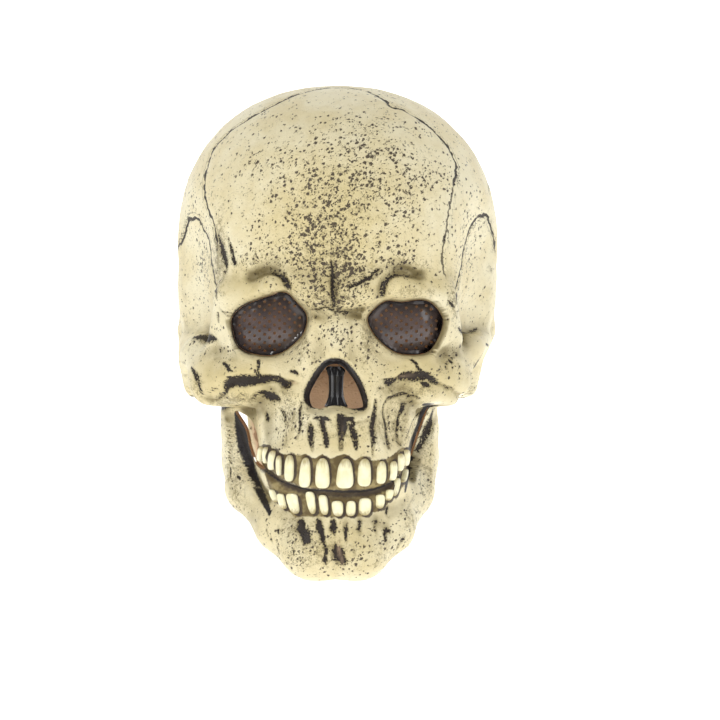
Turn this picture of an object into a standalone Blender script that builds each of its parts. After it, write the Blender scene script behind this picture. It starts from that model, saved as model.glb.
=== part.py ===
# Skull mask: a latex shell in the form of a skull that covers the whole head,
# with a perforated screen in each eye, a glossy septum in the nose and a row
# of separate teeth along each jaw.
#
# The form is worked out in face coordinates, in millimetres: z is 0 at eye
# level, x is to the right as seen from the front, and the face looks along -y.
# The finished part has its origin at the inside top of the cranium, where the
# mask sits on the head.

import math

import bmesh
import bpy
import numpy as np

MM = 0.001

# Driving dimensions, in millimetres
WALL = 2.6
CRANIUM_TOP = 139.5
SEAT_HEIGHT = CRANIUM_TOP - WALL
SEAT_DEPTH = 14.0
FIT_GAP = 0.35
SCREEN_THICKNESS = 1.0
SCREEN_SINK = 0.9
SEPTUM_THICKNESS = 1.6
SEPTUM_MIDDLE = 0.4
SEPTUM_WAIST = 3.0
SEPTUM_ENDS = 4.2
SEPTUM_HEAD_DROP = 1.0
SEPTUM_FOOT = -50.05
SEPTUM_ROWS = 11

# Where the rays that find the surface start: above, a half ball of rays, then
# level rays from a spine that leans forward, then a half ball under the jaw
SPINE_TOP = 45.0
SPINE_FOOT = -112.0
SPINE_LINE = ((-112.0, -55.0), (-40.0, -14.0), (15.0, 10.0), (45.0, 14.0))
RAY_START = 190.0
RAY_STEPS = 70
RAY_CAUTION = 0.6

# Cells of the ball that is pulled out to the surface
CELLS_ROUND = 184
ROWS_DOME = 34
ROWS_FACE = 66
ROWS_UNDER = 12
FRONT_CROWDING = 0.45
OUTER_TRIANGLES = 3800
INNER_TRIANGLES = 2100

# Rounded masses. Each row: name, centre x y z, half sizes x y z, squareness
# (2 is a plain ball), blend with what comes before it, and whether it is a pair
BALLS = (
    ("cranium", 0.6, 14, 45, 96, 112, 94.5, 2.2, 0, False),
    ("cranium base", 0, 26, 10, 95.0, 88, 47, 2.6, 8, False),
    ("nape", 0, 50, -44, 56, 44, 86, 2.2, 18, False),
    ("muzzle", 0, -60, -84, 45, 46, 38, 2.7, 10, False),
    ("maxilla", 0, -58, -50, 46, 40, 30, 2.3, 12, False),
    ("eye floor", 37, -66, -4, 31, 22, 27, 2.3, 6, True),
    ("nose floor", 0, -78, -38, 17, 19, 24, 2.3, 6, False),
    ("ramus", 50, -34, -58, 14.0, 24, 42, 2.6, 5, True),
    ("chin", 0, -86, -133, 29, 17, 17, 3.0, 10, False),
    ("throat front", 0, -72, -118, 30, 26, 24, 2.2, 8, False),
    ("throat middle", 0, -48, -96, 42, 34, 24, 2.2, 8, False),
    ("throat back", 0, -25, -70, 46, 34, 26, 2.2, 8, False),
)

# Rounded bars. Each row: name, end x y z and radius, other end x y z and
# radius, and blend. All of them are pairs.
BARS = (
    ("brow inside", 8, -93, 12, 9.5, 33, -89.5, 17, 9, 8),
    ("brow outside", 33, -89.5, 17, 9, 60, -70, 12, 8.5, 6),
    ("eye socket side", 60, -70, 12, 8.5, 66, -62, -14, 8, 6),
    ("nose bridge", 0, -88, 6, 10, 0, -97, -20, 7.5, 9),
    ("nose side", 9, -86, -8, 8, 21, -88, -44, 9, 8),
    ("under eye", 22, -83, -33, 9, 52, -74, -34, 12, 8),
    ("cheekbone", 50, -74, -38, 13, 67, -60, -38, 14, 8),
    ("cheek arch front", 67, -58, -32, 13, 78, -38, -20, 9.5, 8),
    ("cheek arch back", 78, -38, -21, 9.5, 86, 0, -14, 7.5, 6),
    ("mastoid top", 86.5, 16, -8, 9, 80.5, 20, -39.5, 8.5, 6),
    ("jaw angle", 51, -26, -84, 12, 46, -52, -100, 13, 8),
    ("jaw body", 46, -52, -100, 13, 30, -76, -121, 14, 8),
    ("jaw front", 30, -76, -121, 14, 12, -88, -134, 15, 8),
)

# Rounded hollows. Each row: name, centre x y z, half sizes x y z, blend, and
# whether the bars lie over it. All of them are pairs.
HOLLOWS = (
    ("temple", 99, -60, 30, 25, 44, 46, 14, True),
    ("behind the eye", 96, -44, 0, 24, 34, 24, 10, True),
    ("cheek valley", 58, -78, -78, 12, 26, 26, 5, False),
    ("above the teeth", 37, -98, -58, 10, 14, 16, 8, False),
)

# The soft shell leans to one side below the eyes: the lean, and where it grows
LEAN = -3.6
LEAN_FROM_SIDE = (42.0, 62.0)
LEAN_FROM_HEIGHT = (-8.0, -28.0)

# Eye openings seen from the front, as x z points round the edge
EYE_LEFT = (
    (-60.5, -4.1), (-58.8, 1.8), (-53.2, 6.7), (-45.9, 9.9), (-36.8, 12.9),
    (-28.3, 14.5), (-21.6, 8.6), (-15.9, 1.2), (-16.9, -8.1), (-22.6, -15.6),
    (-32.0, -21.9), (-43.0, -22.9), (-56.0, -17.9),
)
EYE_RIGHT = (
    (17.6, -2.0), (20.8, 4.0), (28.8, 9.6), (38.0, 9.2), (48.5, 10.4),
    (55.6, 8.4), (61.5, 1.1), (62.0, -6.5), (56.6, -17.9), (50.0, -22.1),
    (38.0, -22.3), (29.4, -18.5), (21.5, -10.8),
)

# The pear-shaped opening of the nose, and the crescent between the upper jaw
# and the left jaw branch
NOSE = (
    (-1.0, -24.6), (-7.2, -27.2), (-13.0, -35.2), (-17.2, -44.6), (-15.2, -53.0),
    (-8.6, -55.2), (0.9, -53.0), (9.6, -55.2), (17.8, -53.0), (17.0, -44.6),
    (12.4, -34.4), (5.2, -26.2),
)
CHEEK_GAP = (
    (-58.6, -54.6), (-50.4, -58.2), (-46.6, -64.6), (-44.6, -73.0), (-43.8, -81.5),
    (-40.0, -87.2), (-45.6, -86.0), (-50.0, -76.0), (-52.4, -65.5),
)
CHEEK_SLIT = (
    (53.6, -52.0), (49.8, -59.0), (47.2, -66.6), (44.6, -75.0), (42.8, -81.0),
    (43.8, -80.6), (46.0, -74.6), (48.6, -66.6), (51.2, -59.2),
)

# Sunken outlines: depth, reach outside the edge, reach inside it
EYE_SINK = (8.0, 2.6, 3.0)
NOSE_SINK = (7.0, 2.0, 2.6)
NOSE_OPENING_INSET = 2.6
EYE_OPENING_INSET = 0.6

# Grooves seen from the front. Each row: name, depth, half width, x z points
GROOVES = (
    ("mouth", 2.6, 2.2, ((-40, -84), (-33, -92), (-22, -98.5), (-8, -101.5), (6, -101.8),
                         (18, -100.5), (28, -96.5), (35, -91.5), (42, -84))),
    ("brow crease left", 3.0, 3.4, ((-46, 22), (-39, 25), (-32, 24), (-26, 15))),
    ("brow crease right", 3.0, 3.4, ((25, 13), (29, 21), (37, 26), (47, 23))),
    ("cheek band left", 2.2, 3.6, ((-72, -46), (-62, -39), (-46, -35.5), (-26, -39))),
    ("cheek band right", 2.2, 3.6, ((27, -40), (46, -35.5), (60, -40), (74, -47))),
    ("valley left", 4.0, 3.6, ((-60, -58), (-56, -71), (-51, -86), (-44, -97), (-37, -104))),
    ("valley right", 3.2, 3.4, ((60, -54), (51, -66), (46, -80), (42, -92))),
    ("nose root", 1.8, 4.0, ((-14, 2), (0, 1), (14, 3))),
    ("under the lip", 2.2, 7.0, ((-22, -121), (0, -124), (22, -121))),
)

# Teeth. Each row: x and z of the middle, width as seen from the front, height
UPPER_TEETH = (
    (-42.6, -78.8, 2.7, 8.5), (-39.5, -79.0, 3.1, 9.2), (-35.5, -81.8, 4.4, 10.9),
    (-31.6, -84.7, 3.6, 11.1), (-26.0, -86.3, 5.6, 14.4), (-17.3, -88.6, 7.3, 16.4),
    (-7.2, -88.8, 8.8, 16.6), (5.1, -88.6, 10.6, 16.2), (16.3, -88.4, 7.9, 15.2),
    (25.4, -88.7, 6.2, 12.4), (32.0, -87.2, 4.9, 10.8), (36.7, -83.7, 3.4, 11.3),
    (40.4, -79.6, 3.6, 9.0),
)
LOWER_TEETH = (
    (-34.5, -102.8, 3.4, 7.6), (-30.2, -105.3, 4.1, 8.5), (-23.9, -106.5, 7.0, 11.2),
    (-13.7, -105.8, 5.8, 12.0), (-6.3, -107.2, 5.7, 10.8), (0.8, -108.8, 6.2, 9.2),
    (8.5, -108.6, 5.6, 8.8), (17.0, -107.7, 7.4, 9.9), (25.2, -104.4, 5.4, 8.5),
    (30.4, -101.1, 3.8, 7.4), (34.7, -97.0, 3.4, 9.0), (38.2, -91.6, 3.2, 6.6),
)
TOOTH_SIDES = 10
TOOTH_SQUARENESS = 3.4
TOOTH_ROOT = 2.4
TOOTH_STAND_OUT = 2.6
TOOTH_ROUNDING = 0.3
TOOTH_SHOULDER = 0.45
TOOTH_GAP = 0.9
STEEPEST = 0.6

# Holes of the eye screens
HOLE_PITCH = 5.8
HOLE_ROW_PITCH = 2.9
HOLE_SIZE = 1.6
HOLE_SIDES = 4
HOLE_ROW_TILT = math.radians(7)
HOLE_MARGIN = 2.5
HOLE_ROWS = 8
HOLE_COLUMNS = 6
HOLES_PER_SCREEN = 60

# The lower rim of the mask seen from the side, as y z points: the cutter
# takes away what lies below it
RIM_LINE = (
    (-70, -158), (-72, -143), (-52, -121), (-31, -100), (-17, -90), (-9, -70),
    (-5, -48), (0, -27), (7, -33), (12, -46), (18, -49), (26, -47), (33, -42),
    (39, -54), (45, -78), (54, -94), (70, -98), (150, -98),
)

# The openings below that the head goes through: middle and half sizes of each
# oval seen from below
NECK_CENTRE = (0, -34)
NECK_HALF = (36, 44)
PASSAGE_CENTRE = (0, 14)
PASSAGE_HALF = (48, 50)
OVAL_SIDES = 32

# How far the cutters reach: across, upwards through the two ovals, and from
# the front of the face back through its wall
RIM_CUT = (-130, 130)
RIM_CUT_FOOT = -190
NECK_CUT = (-190, -62)
PASSAGE_CUT = (-190, -30)
FACE_CUT = (-150, -10)

GRID_STEP = 0.8
GRID_HALF_WIDTH = 105.0
GRID_FOOT = -160.0
GRID_TOP = 60.0
FRONT_FROM = -20.0
FRONT_FADE = 20.0
SPREAD_SMOOTHING = 2

# Materials: base colour, roughness, metallic
FINISHES = {
    "bone_latex": ((0.62, 0.54, 0.36), 0.5, 0.0),
    "tooth_enamel": ((0.82, 0.78, 0.52), 0.3, 0.0),
    "eye_screen": ((0.07, 0.06, 0.06), 0.25, 0.0),
    "black_septum": ((0.015, 0.015, 0.02), 0.15, 0.0),
}


def clear_scene():
    for item in list(bpy.data.objects):
        bpy.data.objects.remove(item, do_unlink=True)


def new_collection(name):
    collection = bpy.data.collections.new(name)
    bpy.context.scene.collection.children.link(collection)
    return collection


def make_material(name):
    colour, roughness, metallic = FINISHES[name]
    material = bpy.data.materials.new(name)
    material.use_nodes = True
    shader = material.node_tree.nodes["Principled BSDF"]
    shader.inputs["Base Color"].default_value = (*colour, 1.0)
    shader.inputs["Roughness"].default_value = roughness
    shader.inputs["Metallic"].default_value = metallic
    return material


def smooth_step(value):
    clipped = np.clip(value, 0.0, 1.0)
    return clipped * clipped * (3.0 - 2.0 * clipped)


def blend_min(first, second, blend):
    if blend <= 0:
        return np.minimum(first, second)
    share = np.clip(0.5 + 0.5 * (second - first) / blend, 0.0, 1.0)
    return second * (1 - share) + first * share - blend * share * (1 - share)


def ball_distance(points, centre, half_sizes, squareness):
    offset = points - np.array(centre, dtype=float)
    scaled = np.abs(offset / np.array(half_sizes, dtype=float)) ** squareness
    reach = np.maximum(scaled.sum(axis=1) ** (1.0 / squareness), 1e-6)
    return np.linalg.norm(offset, axis=1) * (1.0 - 1.0 / reach)


def bar_distance(points, start, start_radius, end, end_radius):
    start = np.array(start, dtype=float)
    along = np.array(end, dtype=float) - start
    share = np.clip((points - start) @ along / (along @ along), 0.0, 1.0)
    nearest = start + share[:, None] * along
    radius = start_radius + share * (end_radius - start_radius)
    return np.linalg.norm(points - nearest, axis=1) - radius


# A smooth closed or open run of points through a few given ones
def smooth_run(points, closed, steps):
    given = [np.array(point, dtype=float) for point in points]
    count = len(given)
    run = []
    for index in range(count if closed else count - 1):
        if closed:
            before, here = given[index - 1], given[index]
            after, beyond = given[(index + 1) % count], given[(index + 2) % count]
        else:
            before, here = given[max(index - 1, 0)], given[index]
            after, beyond = given[index + 1], given[min(index + 2, count - 1)]
        for step in range(steps):
            t = step / steps
            run.append(0.5 * (2 * here + (after - before) * t
                              + (2 * before - 5 * here + 4 * after - beyond) * t ** 2
                              + (3 * here - before - 3 * after + beyond) * t ** 3))
    if not closed:
        run.append(given[-1])
    return np.array(run)


def run_distance(places, run, closed):
    best = np.full(len(places), 1e9)
    last = len(run) if closed else len(run) - 1
    for index in range(last):
        start, end = run[index], run[(index + 1) % len(run)]
        along = end - start
        share = np.clip((places - start) @ along / (along @ along), 0.0, 1.0)
        gap = np.linalg.norm(places - start - share[:, None] * along, axis=1)
        best = np.minimum(best, gap)
    return best


def inside_run(places, run):
    inside = np.zeros(len(places), dtype=bool)
    for index in range(len(run)):
        (x0, z0), (x1, z1) = run[index], run[(index + 1) % len(run)]
        crosses = (z0 > places[:, 1]) != (z1 > places[:, 1])
        level = (places[:, 1] - z0) / (z1 - z0 if z1 != z0 else 1e-9)
        inside ^= crosses & (places[:, 0] < x0 + level * (x1 - x0))
    return inside


def inset_run(run, distance):
    before, after = np.roll(run, 1, axis=0), np.roll(run, -1, axis=0)
    along = after - before
    along /= np.linalg.norm(along, axis=1)[:, None]
    inward = np.stack([-along[:, 1], along[:, 0]], axis=1)
    area = np.sum(run[:, 0] * after[:, 1] - after[:, 0] * run[:, 1])
    return run + inward * distance * np.sign(area)


# The relief of the face seen from the front, as a depth to sink for each
# x z place on a grid
class FaceRelief:
    def __init__(self):
        self.columns = np.arange(-GRID_HALF_WIDTH, GRID_HALF_WIDTH + GRID_STEP, GRID_STEP)
        self.rows = np.arange(GRID_FOOT, GRID_TOP + GRID_STEP, GRID_STEP)
        grid_x, grid_z = np.meshgrid(self.columns, self.rows, indexing="ij")
        places = np.stack([grid_x.ravel(), grid_z.ravel()], axis=1)
        depth = np.zeros(len(places))
        for outline, sink in ((EYE_LEFT, EYE_SINK), (EYE_RIGHT, EYE_SINK), (NOSE, NOSE_SINK)):
            depth += self.sunken_outline(places, outline, sink)
        for _, groove_depth, half_width, line in GROOVES:
            gap = run_distance(places, smooth_run(line, False, 6), False)
            depth += groove_depth * np.exp(-(gap / half_width) ** 2)
        self.depth = depth.reshape(grid_x.shape)
        self.spread = self.widened(self.depth)

    # The same relief widened by the wall, for the inner side of the shell
    def widened(self, depth):
        reach = int(round(WALL / GRID_STEP))
        most = depth
        for right in range(-reach, reach + 1):
            for up in range(-reach, reach + 1):
                if right * right + up * up <= reach * reach + 1:
                    most = np.maximum(most, np.roll(depth, (right, up), axis=(0, 1)))
        for _ in range(SPREAD_SMOOTHING):
            for axis in (0, 1):
                most = (np.roll(most, 1, axis) + 2 * most + np.roll(most, -1, axis)) / 4
        return most

    def sunken_outline(self, places, outline, sink):
        most, outside, inside = sink
        run = smooth_run(outline, True, 5)
        gap = run_distance(places, run, True)
        signed = np.where(inside_run(places, run), gap, -gap)
        return most * smooth_step((signed + outside) / (outside + inside))

    def at(self, points, widened):
        depth = self.spread if widened else self.depth
        column = (points[:, 0] + GRID_HALF_WIDTH) / GRID_STEP
        row = (points[:, 2] - GRID_FOOT) / GRID_STEP
        column = np.clip(column, 0, len(self.columns) - 1.001)
        row = np.clip(row, 0, len(self.rows) - 1.001)
        left, low = column.astype(int), row.astype(int)
        across, up = column - left, row - low
        lower = depth[left, low] * (1 - across) + depth[left + 1, low] * across
        upper = depth[left, low + 1] * (1 - across) + depth[left + 1, low + 1] * across
        on_front = smooth_step((FRONT_FROM - points[:, 1]) / FRONT_FADE)
        return (lower * (1 - up) + upper * up) * on_front


# Distance from the skull's surface, in millimetres, less than 0 inside. The
# widened relief is for levels under the surface.
def skull_distance(points, relief, widened):
    paired = points.copy()
    side = (np.abs(points[:, 0]) - LEAN_FROM_SIDE[0]) / (LEAN_FROM_SIDE[1] - LEAN_FROM_SIDE[0])
    drop = (points[:, 2] - LEAN_FROM_HEIGHT[0]) / (LEAN_FROM_HEIGHT[1] - LEAN_FROM_HEIGHT[0])
    lean = LEAN * smooth_step(side) * smooth_step(drop)
    paired[:, 0] = np.abs(paired[:, 0] - lean)
    distance = np.full(len(points), 1e9)
    for _, x, y, z, width, depth, height, squareness, blend, pair in BALLS:
        place = paired if pair else points
        part = ball_distance(place, (x, y, z), (width, depth, height), squareness)
        distance = blend_min(distance, part, blend)
    distance = sink_hollows(distance, paired, True)
    for _, x0, y0, z0, r0, x1, y1, z1, r1, blend in BARS:
        part = bar_distance(paired, (x0, y0, z0), r0, (x1, y1, z1), r1)
        distance = blend_min(distance, part, blend)
    distance = sink_hollows(distance, paired, False)
    return distance + relief.at(points, widened)


def sink_hollows(distance, paired, under_bars):
    for _, x, y, z, width, depth, height, blend, under in HOLLOWS:
        if under == under_bars:
            part = ball_distance(paired, (x, y, z), (width, depth, height), 2.0)
            distance = -blend_min(-distance, part, blend)
    return distance


# The farthest point of each ray where the distance is the given level
def trace(starts, directions, level, relief):
    travel = np.full(len(starts), RAY_START)
    widened = level <= -WALL
    for _ in range(RAY_STEPS):
        points = starts + directions * travel[:, None]
        travel -= (skull_distance(points, relief, widened) - level) * RAY_CAUTION
        travel = np.maximum(travel, 1.0)
    return starts + directions * travel[:, None]


def front_points(places, level, relief):
    starts = np.stack([places[:, 0], np.zeros(len(places)), places[:, 1]], axis=1)
    directions = np.tile((0.0, -1.0, 0.0), (len(places), 1))
    return trace(starts, directions, level, relief)


def to_part(points):
    return (np.asarray(points, dtype=float) - (0.0, SEAT_DEPTH, SEAT_HEIGHT)) * MM


# The start and direction of the ray for each row and turn of the ball
def ball_rays(rows, turns):
    heights = np.zeros(len(rows))
    tilts = np.zeros(len(rows))
    dome = rows <= ROWS_DOME
    tilts[dome] = (1 - rows[dome] / ROWS_DOME) * math.pi / 2
    heights[dome] = SPINE_TOP
    face = (rows > ROWS_DOME) & (rows <= ROWS_DOME + ROWS_FACE)
    share = (rows[face] - ROWS_DOME) / ROWS_FACE
    heights[face] = SPINE_TOP + share * (SPINE_FOOT - SPINE_TOP)
    under = rows > ROWS_DOME + ROWS_FACE
    tilts[under] = -(rows[under] - ROWS_DOME - ROWS_FACE) / ROWS_UNDER * math.pi / 2
    heights[under] = SPINE_FOOT
    turned = turns - FRONT_CROWDING * np.sin(turns)
    spine = np.interp(heights, [z for z, _ in SPINE_LINE], [y for _, y in SPINE_LINE])
    starts = np.stack([np.zeros(len(rows)), spine, heights], axis=1)
    level = np.cos(tilts)
    directions = np.stack([np.sin(turned) * level, -np.cos(turned) * level, np.sin(tilts)], axis=1)
    return starts, directions


# A ball whose points are pulled out along their rays to one level of the form
def ball_skin(name, level, relief, triangles, inward):
    rings = ROWS_DOME + ROWS_FACE + ROWS_UNDER
    mesh = bpy.data.meshes.new(name)
    shape = bmesh.new()
    bmesh.ops.create_uvsphere(shape, u_segments=CELLS_ROUND, v_segments=rings, radius=1.0)
    corners = np.array([vert.co[:] for vert in shape.verts])
    rows = np.round(np.arccos(np.clip(corners[:, 2], -1, 1)) / math.pi * rings)
    turns = np.arctan2(corners[:, 0], -corners[:, 1])
    starts, directions = ball_rays(rows, turns)
    places = to_part(trace(starts, directions, level, relief))
    for vert, place in zip(shape.verts, places):
        vert.co = place
    if inward:
        bmesh.ops.reverse_faces(shape, faces=shape.faces)
    shape.to_mesh(mesh)
    shape.free()
    ball = bpy.data.objects.new(name, mesh)
    bpy.context.scene.collection.objects.link(ball)
    thin = ball.modifiers.new("fewer faces", "DECIMATE")
    thin.ratio = triangles / (2.0 * CELLS_ROUND * (rings - 1))
    thin.use_collapse_triangulate = True
    return ball


def settled_mesh(item):
    graph = bpy.context.evaluated_depsgraph_get()
    return bpy.data.meshes.new_from_object(item.evaluated_get(graph))


def join_skins(outer, inner):
    shape = bmesh.new()
    for skin in (outer, inner):
        mesh = settled_mesh(skin)
        shape.from_mesh(mesh)
        bpy.data.meshes.remove(mesh)
    mesh = bpy.data.meshes.new("skull_shell")
    shape.to_mesh(mesh)
    shape.free()
    return mesh


# A flat outline thrown straight through the part, as a mesh
def prism(name, run, collection, axis, low, high):
    shape = bmesh.new()
    ends = []
    for depth in (low, high):
        ring = []
        for first, second in run:
            place = {"x": (depth, first, second), "y": (first, depth, second),
                     "z": (first, second, depth)}[axis]
            ring.append(shape.verts.new(to_part(place)))
        ends.append(ring)
    shape.faces.new(ends[0])
    shape.faces.new(ends[1])
    for index in range(len(run)):
        after = (index + 1) % len(run)
        shape.faces.new((ends[0][index], ends[0][after], ends[1][after], ends[1][index]))
    bmesh.ops.recalc_face_normals(shape, faces=shape.faces)
    mesh = bpy.data.meshes.new(name)
    shape.to_mesh(mesh)
    shape.free()
    item = bpy.data.objects.new(name, mesh)
    collection.objects.link(item)
    item.hide_render = True
    item.display_type = "WIRE"
    return item


def cut(item, cutter):
    boolean = item.modifiers.new(cutter.name, "BOOLEAN")
    boolean.operation = "DIFFERENCE"
    boolean.solver = "EXACT"
    boolean.object = cutter


def finish(item, collection, material):
    for user in list(item.users_collection):
        user.objects.unlink(item)
    collection.objects.link(item)
    item.data.materials.clear()
    item.data.materials.append(material)
    item.data.shade_smooth()
    item.data.set_sharp_from_angle(angle=math.radians(40))


def oval(centre, half_sizes):
    run = []
    for step in range(OVAL_SIDES):
        turn = step / OVAL_SIDES * 2 * math.pi
        run.append((centre[0] + half_sizes[0] * math.cos(turn),
                    centre[1] + half_sizes[1] * math.sin(turn)))
    return run


def shell_cutters(cutters):
    made = []
    rim = list(RIM_LINE) + [(RIM_LINE[-1][0], RIM_CUT_FOOT), (RIM_LINE[0][0], RIM_CUT_FOOT)]
    made.append(prism("rim_cutter", rim, cutters, "x", *RIM_CUT))
    neck = oval(NECK_CENTRE, NECK_HALF)
    made.append(prism("neck_cutter", neck, cutters, "z", *NECK_CUT))
    passage = oval(PASSAGE_CENTRE, PASSAGE_HALF)
    made.append(prism("passage_cutter", passage, cutters, "z", *PASSAGE_CUT))
    for name, outline, inset in (("eye_left_cutter", EYE_LEFT, EYE_OPENING_INSET),
                                 ("eye_right_cutter", EYE_RIGHT, EYE_OPENING_INSET),
                                 ("nose_cutter", NOSE, NOSE_OPENING_INSET),
                                 ("cheek_gap_cutter", CHEEK_GAP, 0.0),
                                 ("cheek_slit_cutter", CHEEK_SLIT, 0.0)):
        run = inset_run(smooth_run(outline, True, 3), inset)
        made.append(prism(name, run, cutters, "y", *FACE_CUT))
    return made


def make_shell(outer, inner, parts, cutters, material):
    shell = bpy.data.objects.new("skull_shell", join_skins(outer, inner))
    parts.objects.link(shell)
    finish(shell, parts, material)
    for cutter in shell_cutters(cutters):
        cut(shell, cutter)
    return shell


# Middles of the screen holes: staggered rows that rise to one side
def hole_places(run):
    middle = run.mean(axis=0)
    along = np.array((math.cos(HOLE_ROW_TILT), math.sin(HOLE_ROW_TILT)))
    places = []
    for row in range(-HOLE_ROWS, HOLE_ROWS + 1):
        for column in range(-HOLE_COLUMNS, HOLE_COLUMNS + 1):
            shift = 0.5 * (row % 2)
            place = middle + along * (column + shift) * HOLE_PITCH
            places.append(place + (0.0, row * HOLE_ROW_PITCH))
    places = np.array(places)
    depth = np.where(inside_run(places, run), run_distance(places, run, True), -1.0)
    order = np.argsort(-depth)[:HOLES_PER_SCREEN]
    return [places[index] for index in sorted(order) if depth[index] > HOLE_MARGIN]


def add_spline(curve, places):
    spline = curve.splines.new("POLY")
    spline.points.add(len(places) - 1)
    for point, place in zip(spline.points, places):
        point.co = (place[0], place[1], 0.0, 1.0)
    spline.use_cyclic_u = True


# A perforated sheet that follows the bottom of the sunken eye
def make_screen(name, outline, relief, parts, material):
    run = inset_run(smooth_run(outline, True, 3), EYE_OPENING_INSET + FIT_GAP)
    curve = bpy.data.curves.new(name, "CURVE")
    curve.dimensions = "2D"
    curve.fill_mode = "BOTH"
    curve.extrude = 0.5
    add_spline(curve, run)
    for middle in hole_places(run):
        ring = []
        for side in range(HOLE_SIDES):
            turn = (side + 0.5) / HOLE_SIDES * 2 * math.pi
            ring.append(middle + HOLE_SIZE / 2 * np.array((math.cos(turn), math.sin(turn))))
        add_spline(curve, ring)
    flat = bpy.data.objects.new(name + "_outline", curve)
    bpy.context.scene.collection.objects.link(flat)
    mesh = settled_mesh(flat)
    bpy.data.objects.remove(flat, do_unlink=True)
    shape = bmesh.new()
    shape.from_mesh(mesh)
    bmesh.ops.remove_doubles(shape, verts=shape.verts, dist=0.01)
    places = np.array([(vert.co.x, vert.co.y) for vert in shape.verts])
    front = front_points(places, -SCREEN_SINK, relief)
    for vert, place in zip(shape.verts, front):
        back = 0.0 if vert.co.z > 0 else SCREEN_THICKNESS
        vert.co = to_part((place[0], place[1] + back, place[2]))
    bmesh.ops.recalc_face_normals(shape, faces=shape.faces)
    shape.to_mesh(mesh)
    shape.free()
    screen = bpy.data.objects.new(name, mesh)
    parts.objects.link(screen)
    finish(screen, parts, material)
    return screen


# Where an outline crosses a level: its x from left to right
def crossings(run, level):
    found = []
    for index in range(len(run)):
        (x0, z0), (x1, z1) = run[index], run[(index + 1) % len(run)]
        if (z0 > level) != (z1 > level):
            found.append(x0 + (level - z0) / (z1 - z0) * (x1 - x0))
    return sorted(found)


# The strip that parts the two nose holes, wider at its head and foot
def make_septum(relief, parts, material):
    run = smooth_run(NOSE, True, 3)
    opening = inset_run(run, NOSE_OPENING_INSET + FIT_GAP)
    rows = np.linspace(opening[:, 1].max() - SEPTUM_HEAD_DROP, SEPTUM_FOOT, SEPTUM_ROWS)
    shape = bmesh.new()
    bmesh.ops.create_cube(shape, size=1.0)
    side = [edge for edge in shape.edges if abs(edge.verts[0].co.z - edge.verts[1].co.z) > 0.5]
    bmesh.ops.subdivide_edges(shape, edges=side, cuts=len(rows) - 2, use_grid_fill=True)
    levels = sorted({round(vert.co.z, 4) for vert in shape.verts}, reverse=True)
    ends = front_points(np.array([(SEPTUM_MIDDLE, rows[0]), (SEPTUM_MIDDLE, rows[-1])]),
                        -SCREEN_SINK, relief)
    for vert in shape.verts:
        index = levels.index(round(vert.co.z, 4))
        flare = abs(2 * index / (len(rows) - 1) - 1) ** 2
        half = SEPTUM_WAIST + (SEPTUM_ENDS - SEPTUM_WAIST) * flare
        spans = crossings(opening, rows[index])
        left = max(SEPTUM_MIDDLE - half, spans[0])
        right = min(SEPTUM_MIDDLE + half, spans[-1])
        share = index / (len(rows) - 1)
        depth = ends[0][1] + share * (ends[1][1] - ends[0][1])
        back = SEPTUM_THICKNESS if vert.co.y > 0 else 0.0
        vert.co = to_part((left if vert.co.x < 0 else right, depth + back, rows[index]))
    mesh = bpy.data.meshes.new("nasal_septum")
    shape.to_mesh(mesh)
    shape.free()
    septum = bpy.data.objects.new("nasal_septum", mesh)
    parts.objects.link(septum)
    finish(septum, parts, material)
    return septum


def surface_turn(x, z, relief):
    places = np.array(((x - 1.0, z), (x + 1.0, z)))
    left, right = front_points(places, 0.0, relief)
    return math.atan2(right[1] - left[1], right[0] - left[0])


# Middle, turn and half width of each tooth of a jaw, kept clear of the next
def tooth_places(table, relief):
    places = np.array([(x, z) for x, z, _, _ in table])
    middles = front_points(places, 0.0, relief)
    turns = [surface_turn(x, z, relief) for x, z in places]
    halves = [row[2] / 2 / max(math.cos(turn), STEEPEST) for row, turn in zip(table, turns)]
    for index in range(len(table) - 1):
        apart = np.linalg.norm(middles[index + 1] - middles[index]) - TOOTH_GAP
        excess = halves[index] + halves[index + 1] - apart
        if excess > 0:
            halves[index] -= excess / 2
            halves[index + 1] -= excess / 2
    return list(zip(middles, turns, halves))


# A rounded tooth that stands out of the gum band, cut off behind by the band
def make_tooth(name, place, height, seat, parts, material):
    middle, turn, half_width = place
    shape = bmesh.new()
    bmesh.ops.create_cone(shape, cap_ends=True, segments=TOOTH_SIDES, radius1=1.0, radius2=1.0,
                          depth=2.0)
    front = [face for face in shape.faces if face.normal.z > 0.5]
    bmesh.ops.inset_region(shape, faces=front, thickness=TOOTH_ROUNDING, depth=0.0)
    for vert in shape.verts:
        flat = np.array((vert.co.x, vert.co.y))
        crown = np.linalg.norm(flat) < 0.9
        reach = (np.abs(flat / np.linalg.norm(flat)) ** TOOTH_SQUARENESS).sum()
        flat = flat / reach ** (1 / TOOTH_SQUARENESS) * (half_width, height / 2)
        out = TOOTH_ROOT if vert.co.z < 0 else -TOOTH_STAND_OUT * (1.0 if crown else TOOTH_SHOULDER)
        place = (flat[0] * math.cos(turn) - out * math.sin(turn),
                 flat[0] * math.sin(turn) + out * math.cos(turn), flat[1])
        vert.co = to_part(middle + place)
    bmesh.ops.recalc_face_normals(shape, faces=shape.faces)
    mesh = bpy.data.meshes.new(name)
    shape.to_mesh(mesh)
    shape.free()
    tooth = bpy.data.objects.new(name, mesh)
    parts.objects.link(tooth)
    finish(tooth, parts, material)
    cut(tooth, seat)
    return tooth


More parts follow.
